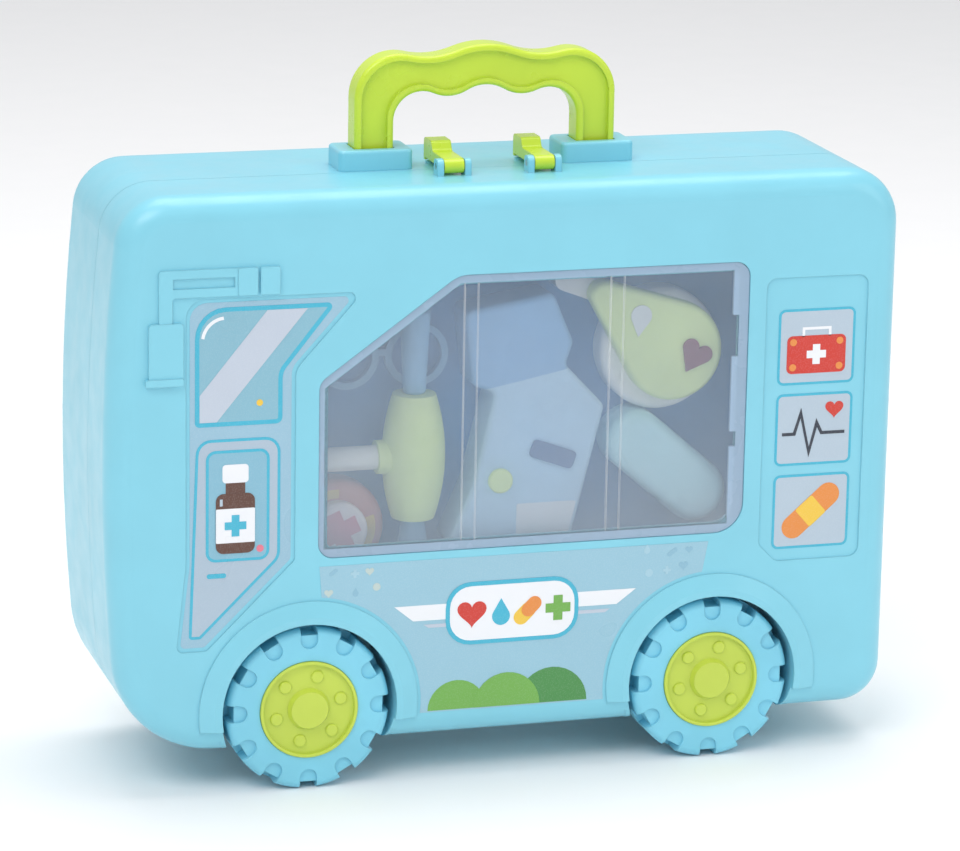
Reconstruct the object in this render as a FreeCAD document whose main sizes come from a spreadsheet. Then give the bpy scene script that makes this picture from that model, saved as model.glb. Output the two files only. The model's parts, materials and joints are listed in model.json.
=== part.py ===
import FreeCAD, Part
import math
import os
import Sketcher
from types import SimpleNamespace
from FreeCAD import Vector

# Toy trolley case in the shape of a bus. X runs from nose to tail, -Y is the window side, +Z is up.
# "front" is the window side, "rear" the other side, "left" the nose end.

# Driving dimensions in millimetres: name, value, what it is.
SIZES = [
    ("case_length", 376, "nose to tail"),
    ("case_depth", 112, "outer face to outer face"),
    ("body_bottom", 20, "underside of the body above the floor"),
    ("roof_height", 279, "top of the roof above the floor"),
    ("parting_offset", 13, "parting plane of the halves, in front of the middle"),
    ("seam_gap", 0.3, "gap between the rims of the halves"),
    ("wall", 2.2, "wall of the shells"),
    ("nose_bulge", 8, "how far the middle of the nose stands ahead of its ends"),
    ("nose_low_radius", 48, "lower corner of the nose"),
    ("nose_top_radius", 24, "upper corner of the nose"),
    ("tail_low_radius", 20, "lower corner of the tail"),
    ("tail_top_radius", 26, "upper corner of the tail"),
    ("edge_radius", 11, "round between the faces and the rim of a shell"),
    ("overrun", 2, "how far cuts run past what they cut"),
    ("running_gap", 0.08, "radial gap of a running fit"),
    ("press_gap", 0.02, "radial gap of a fixed pin"),
    ("slide_gap", 0.4, "gap round a sliding leg"),
    ("seat_gap", 0.15, "gap round a piece seated in a recess"),
    ("swing_gap", 0.3, "gap beside a swinging piece"),
    ("nose_overhang", 93.5, "nose axle behind the nose"),
    ("tail_overhang", 88, "tail axle ahead of the tail"),
    ("tyre_radius", 38.5, "rolling radius"),
    ("tyre_width", 22.5, "across the tread"),
    ("tyre_rim", 4.5, "tread thickness over the hollow"),
    ("tyre_web", 3.8, "disc behind the hub cap"),
    ("tyre_shoulder", 3.6, "round of the outer shoulder"),
    ("tyre_chamfer", 1.5, "bevel of the inner shoulder"),
    ("tyre_boss_radius", 8, "boss round the bore"),
    ("tyre_proud", 0.6, "side wall of the tyre in front of the shell face"),
    ("notch_width", 8, "rim notch"),
    ("notch_reach", 3.4, "rim notch, radially"),
    ("notch_length", 12, "rim notch along the tread"),
    ("scoop_reach", 9.5, "shallow scoop inside a notch, radially"),
    ("scoop_depth", 1.3, "shallow scoop into the side wall"),
    ("arch_gap", 2.6, "space between tyre and arch"),
    ("arch_width", 10.5, "flare round the wheel, radially"),
    ("arch_proud", 3, "crest of the flare in front of the face"),
    ("arch_step", 0.9, "outer edge of the flare in front of the face"),
    ("arch_crest", 3.2, "flat crest of the flare, radially"),
    ("arch_fall", 9, "how far the flare reaches below the axle"),
    ("well_depth", 28, "wheel well behind the face"),
    ("axle_radius", 2.5, "stub axle"),
    ("axle_head_radius", 5, "head of the stub axle"),
    ("axle_head", 1.6, "thickness of that head"),
    ("axle_boss_radius", 7, "boss that holds the axle"),
    ("axle_boss", 9, "length of that boss"),
    ("axle_play", 0.4, "end play of a wheel"),
    ("hub_radius", 23, "hub cap"),
    ("hub_recess", 5.6, "seat of the hub cap behind the side wall"),
    ("hub_lip", 1.6, "raised rim of the hub cap, radially"),
    ("hub_lip_proud", 1.1, "raised rim in front of the side wall"),
    ("hub_face_sink", 1.1, "dish of the hub cap behind the side wall"),
    ("hub_skin", 2.1, "wall of the hub cap"),
    ("hub_boss_radius", 10, "raised middle of the hub cap"),
    ("hub_boss_edge", 1.4, "slope of the raised middle"),
    ("hub_boss_proud", 1.9, "raised middle in front of the side wall"),
    ("lug_radius", 3, "lug bump"),
    ("lug_circle", 15.6, "circle of the lug bumps"),
    ("lug_proud", 1.3, "lug bump in front of the dish"),
    ("lug_round", 0.9, "round of a lug bump"),
    ("lug_first_angle", 15, "degrees to the first lug"),
    ("window_left", -90.5, "left edge of the window"),
    ("window_right", 113.5, "right edge of the window"),
    ("window_low", 109.8, "lower edge of the window"),
    ("window_top", 238.5, "upper edge of the window"),
    ("window_slant_x", -26, "upper end of the slanted edge"),
    ("window_slant_z", 192, "lower end of the slanted edge"),
    ("window_round", 7, "corner round of the window"),
    ("window_low_round", 14, "round of the lower right corner"),
    ("window_thick", 1.6, "clear panel"),
    ("window_ledge", 4.5, "ledge behind the edge of the panel"),
    ("ledge_thick", 2, "thickness of the ledge"),
    ("ledge_land", 3, "ledge outside the panel"),
    ("hook_long", 17, "snap hook along the edge"),
    ("hook_thick", 1.4, "snap hook across"),
    ("hook_inset", 1.5, "snap hook inside the panel edge"),
    ("hook_reach", 3.4, "snap hook behind the panel"),
    ("hook_side_spread", 28, "hooks of the upright edge, from its middle"),
    ("hook_top_spread", 42, "hooks of the level edges, from their middle"),
    ("hook_bite", 0.8, "catch of a snap hook"),
    ("hook_bite_gap", 0.15, "play of the catch behind the ledge"),
    ("flute_width", 6.5, "upright flute of the panel"),
    ("flute_rise", 0.5, "flute in front of the panel"),
    ("flute_left_x", -19.7, "left flute"),
    ("flute_right_x", 49.8, "right flute"),
    ("door_left", 36, "left edge of the door, from the nose"),
    ("door_foot_x", 31.5, "foot of the left edge, from the nose"),
    ("door_foot_z", 69.5, "lower edge of the door"),
    ("door_knee_z", 110, "where the edges of the door turn"),
    ("door_right", 86.5, "right edge of the door, from the nose"),
    ("door_shoulder_z", 199, "upper turn of the right edge"),
    ("door_top", 233.3, "upper edge of the door"),
    ("door_top_x", 117.5, "right end of the upper edge, from the nose"),
    ("door_bottom_x", 45.5, "right end of the lower edge, from the nose"),
    ("door_round", 9, "upper left corner of the door"),
    ("door_small_round", 3, "other corners of the door"),
    ("panel_sink", 0.8, "depth of the door and tail panels"),
    ("tail_panel_left", 66, "left edge of the tail panel, from the tail"),
    ("tail_panel_right", 16, "right edge of the tail panel, from the tail"),
    ("tail_panel_low", 94, "lower edge of the tail panel"),
    ("tail_panel_top", 230, "upper edge of the tail panel"),
    ("tail_panel_cut", 8.5, "cut corner of the tail panel"),
    ("tail_panel_round", 5, "corner round of the tail panel"),
    ("relief", 1.1, "height of the mirror relief"),
    ("mirror_bar_left", 23.5, "mirror arm, left end, from the nose"),
    ("mirror_bar_right", 60, "mirror arm, right end, from the nose"),
    ("mirror_bar_low", 234.4, "mirror arm, lower edge"),
    ("mirror_bar_top", 247, "mirror arm, upper edge"),
    ("mirror_leg", 6.2, "leg of the mirror arm"),
    ("mirror_slot_left", 30, "slot in the mirror arm, left end, from the nose"),
    ("mirror_slot_right", 58, "slot in the mirror arm, right end, from the nose"),
    ("mirror_slot_margin", 4, "arm above and below the slot"),
    ("mirror_left", 18.8, "mirror block, left edge, from the nose"),
    ("mirror_right", 34.6, "mirror block, right edge, from the nose"),
    ("mirror_low", 194.6, "mirror block, lower edge"),
    ("mirror_top", 223, "mirror block, upper edge"),
    ("mirror_round", 1.6, "corner round of the mirror relief"),
    ("mirror_lip", 3.4, "height of the lip at the foot of the mirror block"),
    ("mirror_lip_side", 1.6, "lip beside the mirror block"),
    ("arm_plate", 9, "width of a plate at the end of the mirror arm"),
    ("arm_plate_gap", 1.2, "gap between those plates"),
    ("blank_proud", 1, "blank panel of the rear side in front of the face"),
    ("tray_left", -112, "left edge of the toy tray"),
    ("tray_right", 132, "right edge of the toy tray"),
    ("tray_low", 92, "lower edge of the toy tray"),
    ("tray_top", 256, "upper edge of the toy tray"),
    ("tray_round", 10, "corner round of the toy tray"),
    ("tray_seat", 24, "face of the toy tray, in front of the middle"),
    ("tray_thick", 2.4, "toy tray"),
    ("post_inset", 8, "posts inside the tray edge"),
    ("post_radius", 4, "post under the tray"),
    ("screw_radius", 1.5, "screw thread"),
    ("screw_length", 10, "screw under its head"),
    ("screw_head_radius", 3, "screw head"),
    ("screw_head", 1.8, "height of a screw head"),
    ("screw_slot", 0.8, "cross slot of a screw"),
    ("hinge_drop", 4.6, "hinge axis under the body"),
    ("knuckle_radius", 4, "hinge knuckle"),
    ("knuckle_length", 15, "one hinge knuckle"),
    ("knuckle_gap", 0.4, "gap between knuckles"),
    ("hinge_pin_radius", 1.75, "hinge pin"),
    ("handle_half", 62.3, "outer edge of a handle leg, from the middle"),
    ("handle_leg", 18.5, "width of a handle leg"),
    ("handle_thick", 14, "handle, front to rear"),
    ("grip_top", 332.5, "mid level of the wavy top edge"),
    ("grip_wave", 27.5, "half wave of the top edge"),
    ("grip_swell", 2.5, "height of a half wave of the top edge"),
    ("grip_out", 9.2, "run from the last dip of the top edge to the shoulder"),
    ("finger_level", 313.6, "mid level of the wavy lower edge"),
    ("finger_wave", 17.7, "half wave of the lower edge"),
    ("finger_swell", 2.4, "height of a half wave of the lower edge"),
    ("finger_out", 7.1, "run from the last dip of the lower edge to the elbow"),
    ("handle_rim", 3.2, "raised rim of the handle"),
    ("handle_channel", 2.4, "sunk channel inside the rim"),
    ("handle_edge", 2, "round of the handle edges"),
    ("stop_wall", 3, "stop cap round the foot of a leg"),
    ("stop_floor", 4, "floor of a stop cap"),
    ("stop_cover", 10, "how far a stop cap covers the leg"),
    ("guide_wall", 1.8, "sleeve round a handle leg"),
    ("guide_low", 215, "lower end of the sleeve above the floor"),
    ("collar_side", 6, "collar beside the sleeve"),
    ("collar_front", 2.2, "collar before and behind the sleeve"),
    ("collar_rise", 9.5, "collar above the roof"),
    ("collar_round", 3, "round of the collar"),
    ("guide_lug", 1.4, "snap lug under the roof"),
    ("guide_lug_height", 6, "height of that lug"),
    ("latch_x", 21.5, "latches beside the middle"),
    ("latch_width", 9.4, "width of a latch"),
    ("latch_pivot_y", -27, "pivot of the latches"),
    ("latch_pivot_rise", 4.2, "pivot above the roof"),
    ("latch_barrel", 3.4, "radius of the latch barrel"),
    ("latch_pin_radius", 1.5, "pin of a latch"),
    ("latch_tip_y", 5, "tip of a latch"),
    ("latch_hump_y", -7, "start of the hump"),
    ("latch_hump_rise", 12, "top of the hump above the roof"),
    ("latch_arm_rise", 7.6, "top of the latch arm above the roof"),
    ("latch_underside", 2.6, "underside of the latch above the roof"),
    ("latch_hook", 2.2, "hook at the tip of a latch"),
    ("latch_round", 2.5, "round of the hump"),
    ("latch_ear", 3, "ear beside a latch"),
    ("catch_rise", 1.2, "catch rib above the roof"),
    ("catch_width", 2.4, "catch rib, front to rear"),
    ("hammer_x", -41.5, "hammer, middle"),
    ("hammer_z", 151.3, "hammer, middle"),
    ("hammer_length", 58.5, "hammer head"),
    ("hammer_radius", 14.6, "hammer head, middle"),
    ("hammer_end_radius", 10, "hammer head, ends"),
    ("hammer_tip_radius", 5.2, "rubber tip, at the head"),
    ("hammer_tip_top", 40, "upper rubber tip"),
    ("hammer_tip_low", 15, "lower rubber tip"),
    ("hammer_tip_swell", 2, "how much wider the far end of a rubber tip is, on the radius"),
    ("hammer_neck", 18, "neck of the hammer head, from its middle"),
    ("hammer_neck_radius", 7.8, "end of that neck"),
    ("hammer_neck_root", 12.5, "root of that neck"),
    ("hammer_grip_radius", 5.6, "hammer handle"),
    ("hammer_grip_end", -91, "left end of the hammer handle"),
    ("thermometer_thick", 22, "toy thermometer"),
    ("thermometer_round", 3, "edge round of the toy thermometer"),
    ("thermometer_x", 8, "middle of the thermometer"),
    ("thermometer_low", 107, "foot of the thermometer"),
    ("thermometer_width", 60, "thermometer"),
    ("thermometer_height", 119, "thermometer"),
    ("thermometer_corner", 4, "corner round of the thermometer"),
    ("display_right", 15, "display, right of the thermometer's middle"),
    ("display_up", 43, "display, above the thermometer's foot"),
    ("display_width", 22, "display"),
    ("display_height", 8.5, "display"),
    ("display_tilt", 20, "degrees"),
    ("detail_proud", 1.2, "small details in front of a toy"),
    ("button_left", 10, "button, left of the thermometer's middle"),
    ("button_up", 31.7, "button, above the thermometer's foot"),
    ("button_radius", 5.8, "button"),
    ("disc_x", 77.6, "stethoscope disc, middle"),
    ("disc_z", 194.6, "stethoscope disc, middle"),
    ("disc_radius", 29, "stethoscope disc"),
    ("disc_thick", 13, "stethoscope disc"),
    ("disc_round", 4, "edge of the stethoscope disc"),
    ("cover_thick", 8, "cover on the disc"),
    ("cover_radius", 23.5, "round end of the cover"),
    ("cover_tip_radius", 6.8, "narrow end of the cover"),
    ("cover_tip_left", 30.1, "narrow end of the cover, left of the disc's middle"),
    ("cover_tip_up", 28.4, "narrow end of the cover, above the disc's middle"),
    ("cover_right", 4.2, "round end of the cover, right of the disc's middle"),
    ("cover_up", 0.4, "round end of the cover, above the disc's middle"),
    ("cover_round", 3, "edge of the cover"),
    ("stub_radius", 5, "tube stub"),
    ("stub_clear", 8.1, "end of the tube stub, right of the thermometer's top corner"),
    ("stub_rise", 3.5, "end of the tube stub, above the thermometer's top corner"),
    ("heart_right", 9.4, "heart, right of the cover's round end"),
    ("heart_drop", 2.4, "heart, below the cover's round end"),
    ("heart_tilt", 30, "degrees that the heart leans to the right"),
    ("heart_size", 15, "heart"),
    ("pill_clear", 3.1, "between the thermometer's right corner and the pill case"),
    ("pill_z", 151.5, "pill case, upper end"),
    ("pill_run", 29.3, "pill case, from the upper end to the right"),
    ("pill_drop", 25.1, "pill case, from the upper end down"),
    ("pill_radius", 14.8, "pill case"),
    ("pill_thick", 20, "pill case"),
    ("pill_round", 6, "edge of the pill case"),
    ("medicine_x", -77, "medicine disc, middle"),
    ("medicine_z", 117.7, "medicine disc, middle"),
    ("medicine_radius", 13.6, "medicine disc"),
    ("medicine_thick", 6, "medicine disc"),
    ("medicine_box_radius", 23, "box under the medicine disc"),
    ("medicine_box_thick", 12, "box under the medicine disc"),
    ("medicine_box_round", 4, "edge of that box"),
    ("medicine_round", 2, "edge of the medicine disc"),
    ("glasses_z", 196, "glasses, middle"),
    ("glasses_clear", 2.9, "between the glasses and the thermometer's upper left corner"),
    ("glasses_span", 33, "glasses, from lens to lens"),
    ("glasses_radius", 15, "glasses, outer radius"),
    ("glasses_bar", 3.2, "glasses, frame"),
    ("glasses_thick", 4, "glasses, front to rear"),
]

# Outlines as shares of the width (from the middle) and of the height (from the foot).
RIGHT_CORNER_SHARES = (0.67, 0.54)
TOP_CORNER_SHARES = (0.24, 1.0)
LEFT_CORNER_SHARES = (-0.46, 0.94)
THERMOMETER_SHARES = [
    (-0.59, 0.0), (0.41, 0.0), RIGHT_CORNER_SHARES, (0.35, 0.71), (0.41, 0.80),
    TOP_CORNER_SHARES, LEFT_CORNER_SHARES, (-0.39, 0.645), (-0.21, 0.615), (-0.38, 0.25),
]
HEART_SHARES = [(0.0, -0.55), (0.47, 0.05), (0.24, 0.46), (0.0, 0.25), (-0.24, 0.46), (-0.47, 0.05)]
HEART_LOBE_SHARE = 0.27

NOTCHES = 12
LUGS = 6
KNUCKLES = 5
FULL_TURN = 360

doc = FreeCAD.newDocument("toy_trolley_case")
sheet = doc.addObject("Spreadsheet::Sheet", "Sizes")
pieces = []


class Size:
    """A number together with the sheet formula that gives it."""

    def __init__(self, value, formula):
        self.value = value
        self.formula = formula

    def join(self, sign, other, value):
        return Size(value, "(%s %s %s)" % (self.formula, sign, other.formula))

    def __add__(self, other):
        other = sized(other)
        return self.join("+", other, self.value + other.value)

    def __sub__(self, other):
        other = sized(other)
        return self.join("-", other, self.value - other.value)

    def __mul__(self, other):
        other = sized(other)
        return self.join("*", other, self.value * other.value)

    def __truediv__(self, other):
        other = sized(other)
        return self.join("/", other, self.value / other.value)

    def __radd__(self, other):
        return sized(other) + self

    def __rsub__(self, other):
        return sized(other) - self

    def __rmul__(self, other):
        return sized(other) * self

    def __neg__(self):
        return Size(-self.value, "(-1 * %s)" % self.formula)


def sized(value):
    if isinstance(value, Size):
        return value
    return Size(value, "(%s)" % repr(value))


def root(size):
    return Size(math.sqrt(size.value), "sqrt(%s)" % size.formula)


def write_sheet():
    """Fill the spreadsheet and hand back its cells by name."""
    cells = {}
    for row, (name, value, note) in enumerate(SIZES, 1):
        sheet.set("A%d" % row, name)
        sheet.set("B%d" % row, str(value))
        sheet.setAlias("B%d" % row, name)
        sheet.set("C%d" % row, note)
        cells[name] = Size(value, "Sizes." + name)
    doc.recompute()
    return SimpleNamespace(**cells)


def bind(obj, prop, size):
    """Set a property from a size, by its formula."""
    obj.setExpression(prop, sized(size).formula)


def new_body(name):
    body = doc.addObject("PartDesign::Body", name)
    body.Label = name
    return body


def origin_feature(body, role):
    return [f for f in body.Origin.OriginFeatures if f.Role == role][0]


def new_sketch(body, name, plane="XZ_Plane", across=0, up=0, out=0):
    """A sketch on an origin plane, moved across, up and out along the plane's normal."""
    sketch = body.newObject("Sketcher::SketchObject", body.Name + "_" + name)
    sketch.AttachmentSupport = [(origin_feature(body, plane), "")]
    sketch.MapMode = "FlatFace"
    for axis, offset in zip("xyz", (across, up, out)):
        bind(sketch, "AttachmentOffset.Base." + axis, offset)
    return sketch


def pin_point(sketch, geometry, end, x, y):
    """Hold a point of the sketch at a place given by two sizes."""
    for kind, size in (("DistanceX", sized(x)), ("DistanceY", sized(y))):
        index = sketch.addConstraint(Sketcher.Constraint(kind, -1, 1, geometry, end, size.value))
        sketch.setExpression("Constraints[%d]" % index, size.formula)


def hold_radius(sketch, geometry, radius):
    index = sketch.addConstraint(Sketcher.Constraint("Radius", geometry, radius.value))
    sketch.setExpression("Constraints[%d]" % index, radius.formula)


def circle(sketch, x, y, radius):
    x, y, radius = sized(x), sized(y), sized(radius)
    shape = Part.Circle(Vector(x.value, y.value, 0), Vector(0, 0, 1), radius.value)
    geometry = sketch.addGeometry(shape)
    pin_point(sketch, geometry, 3, x, y)
    hold_radius(sketch, geometry, radius)


def arc_between(start, end, radius, turn):
    """Short arc from start to end; turn is +1 for counter-clockwise travel, -1 for clockwise."""
    ax, ay = start[0].value, start[1].value
    bx, by = end[0].value, end[1].value
    chord = math.hypot(bx - ax, by - ay)
    rise = math.sqrt(max(radius.value ** 2 - (chord / 2) ** 2, 0))
    left_x, left_y = -(by - ay) / chord, (bx - ax) / chord
    cx = (ax + bx) / 2 + turn * left_x * rise
    cy = (ay + by) / 2 + turn * left_y * rise
    first, last = (ax, ay), (bx, by)
    if turn < 0:
        first, last = last, first
    begin = math.atan2(first[1] - cy, first[0] - cx)
    finish = math.atan2(last[1] - cy, last[0] - cx)
    return Part.ArcOfCircle(Part.Circle(Vector(cx, cy, 0), Vector(0, 0, 1), radius.value), begin, finish)


def outline(sketch, points, arcs=None):
    """Closed outline through points; arcs gives radius and turn of the sides that are round."""
    arcs = arcs or {}
    points = [(sized(x), sized(y)) for x, y in points]
    sides = []
    for index, start in enumerate(points):
        end = points[(index + 1) % len(points)]
        if index in arcs:
            radius, turn = arcs[index]
            geometry = sketch.addGeometry(arc_between(start, end, radius, turn))
            sides.append((geometry, 1, 2) if turn > 0 else (geometry, 2, 1))
        else:
            line = Part.LineSegment(Vector(start[0].value, start[1].value, 0),
                                    Vector(end[0].value, end[1].value, 0))
            sides.append((sketch.addGeometry(line), 1, 2))
    for index, (geometry, begin, finish) in enumerate(sides):
        after = sides[(index + 1) % len(sides)]
        sketch.addConstraint(Sketcher.Constraint("Coincident", geometry, finish, after[0], after[1]))
    for index, (geometry, begin, finish) in enumerate(sides):
        pin_point(sketch, geometry, begin, *points[index])
        if index in arcs:
            hold_radius(sketch, geometry, arcs[index][0])


def rounded(sketch, corners):
    """Closed counter-clockwise outline with a radius at each corner: (x, y, radius), radius 0 for sharp."""
    corners = [(sized(x), sized(y), sized(r)) for x, y, r in corners]
    points = []
    arcs = {}
    for index, (x, y, radius) in enumerate(corners):
        if radius.value == 0:
            points.append((x, y))
            continue
        before = corners[index - 1]
        after = corners[(index + 1) % len(corners)]
        ux, uy = before[0] - x, before[1] - y
        vx, vy = after[0] - x, after[1] - y
        back = root(ux * ux + uy * uy)
        ahead = root(vx * vx + vy * vy)
        cosine = (ux * vx + uy * vy) / (back * ahead)
        reach = radius * root((1 + cosine) / (1 - cosine))
        bend = vx.value * uy.value - vy.value * ux.value
        arcs[len(points)] = (radius, 1 if bend > 0 else -1)
        points.append((x + ux * reach / back, y + uy * reach / back))
        points.append((x + vx * reach / ahead, y + vy * reach / ahead))
    outline(sketch, points, arcs)


def rectangle(sketch, left, low, right, top, radius=0):
    rounded(sketch, [(left, low, radius), (right, low, radius), (right, top, radius), (left, top, radius)])


def feature(body, kind, sketch, **settings):
    """A feature made from a sketch; sizes are bound, other settings are set."""
    made = body.newObject("PartDesign::" + kind, sketch.Name + "_" + kind.lower())
    made.Profile = sketch
    for prop, value in settings.items():
        if isinstance(value, Size):
            bind(made, prop, value)
        else:
            setattr(made, prop, value)
    sketch.Visibility = False
    return update(made)


def update(made):
    """Recompute what is new and hand back the feature."""
    doc.recompute()
    return made


def revolve(body, sketch, kind="Revolution", axis="H_Axis", **settings):
    made = body.newObject("PartDesign::" + kind, sketch.Name + "_turned")
    made.Profile = sketch
    made.ReferenceAxis = (sketch, [axis])
    made.Angle = FULL_TURN
    for prop, value in settings.items():
        if isinstance(value, Size):
            bind(made, prop, value)
        else:
            setattr(made, prop, value)
    return update(made)


def polar(body, originals, axis, count):
    pattern = body.newObject("PartDesign::PolarPattern", body.Name + "_pattern")
    pattern.Originals = originals
    pattern.Axis = (origin_feature(body, axis), [""])
    pattern.Angle = FULL_TURN
    pattern.Occurrences = count
    body.Tip = pattern
    return update(pattern)


def edge_names(shape, test):
    return ["Edge%d" % number for number, edge in enumerate(shape.Edges, 1) if test(edge)]


def face_names(shape, test):
    return ["Face%d" % number for number, face in enumerate(shape.Faces, 1) if test(face)]


def near(a, b):
    return abs(a - b) < 1e-4


def lies_at(item, axis, value):
    """Whether an edge or face lies wholly in the plane axis = value."""
    box = item.BoundBox
    low, high = {"x": (box.XMin, box.XMax), "y": (box.YMin, box.YMax), "z": (box.ZMin, box.ZMax)}[axis]
    return near(low, value) and near(high, value)


def fillet(body, base, edges, radius):
    made = body.newObject("PartDesign::Fillet", base.Name + "_round")
    made.Base = (base, edges)
    bind(made, "Radius", radius)
    return update(made)


def move(body, x=0, y=0, z=0, turn=0):
    """Place a body, turned about the upright axis."""
    body.Placement = FreeCAD.Placement(Vector(), FreeCAD.Rotation(Vector(0, 0, 1), turn))
    for axis, size in zip("xyz", (x, y, z)):
        bind(body, "Placement.Base." + axis, size)


def keep(piece):
    pieces.append(piece)
    return piece


S = write_sheet()

# Places that several pieces share.
half_length = S.case_length / 2
face = S.case_depth / 2
arch_inner = S.tyre_radius + S.arch_gap
arch_outer = arch_inner + S.arch_width
axle_z = S.tyre_radius
nose, tail = -half_length, half_length
wheel_left_x = nose + S.nose_overhang
wheel_right_x = tail - S.tail_overhang
wheel_out = face + S.tyre_proud
wheel_y = wheel_out - S.tyre_width / 2
well_back = face - S.well_depth
tyre_inner_end = wheel_y - well_back - S.axle_play
hinge_z = S.body_bottom - S.hinge_drop
parting_y = -S.parting_offset
latch_pivot_z = S.roof_height + S.latch_pivot_rise
leg_x = S.handle_half - S.handle_leg / 2
handle_foot = S.body_bottom + S.wall + S.swing_gap + S.stop_floor
sleeve_x = S.handle_leg / 2 + S.slide_gap + S.guide_wall
sleeve_y = S.handle_thick / 2 + S.slide_gap + S.guide_wall
tray_y = -S.tray_seat


def wave_radius(wave, swell):
    """Radius of an arc with a given chord and height."""
    return wave * wave / 8 / swell + swell / 2


def body_outline(sketch):
    left = -half_length + S.nose_bulge
    height = S.roof_height - S.body_bottom
    nose = wave_radius(height, S.nose_bulge)
    corners = [(left, S.body_bottom), (half_length, S.body_bottom),
               (half_length, S.roof_height), (left, S.roof_height)]
    outline(sketch, corners, {3: (nose, 1)})
    return corners


def window_corners(grow, round_change):
    """Window outline, grown outwards, with its corner rounds changed by the same amount."""
    rise = S.window_top - S.window_slant_z
    run = S.window_slant_x - S.window_left
    length = root(rise * rise + run * run)
    slant_shift_x = (length - rise) / run
    slant_shift_z = (length - run) / rise
    left, right = S.window_left - grow, S.window_right + grow
    low, top = S.window_low - grow, S.window_top + grow
    small = S.window_round + round_change
    large = S.window_low_round + round_change
    return [
        (left, low, small), (right, low, large), (right, top, small),
        (S.window_slant_x - grow * slant_shift_z, top, large),
        (left, S.window_slant_z + grow * slant_shift_x, small),
    ]


def door_corners():
    return [
        (nose + S.door_foot_x, S.door_foot_z, S.door_small_round),
        (nose + S.door_bottom_x, S.door_foot_z, S.door_small_round),
        (nose + S.door_right, S.door_knee_z, S.door_small_round),
        (nose + S.door_right, S.door_shoulder_z, S.door_round),
        (nose + S.door_top_x, S.door_top, S.door_small_round),
        (nose + S.door_left, S.door_top, S.door_round),
        (nose + S.door_left, S.door_knee_z, S.door_round),
    ]


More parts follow.
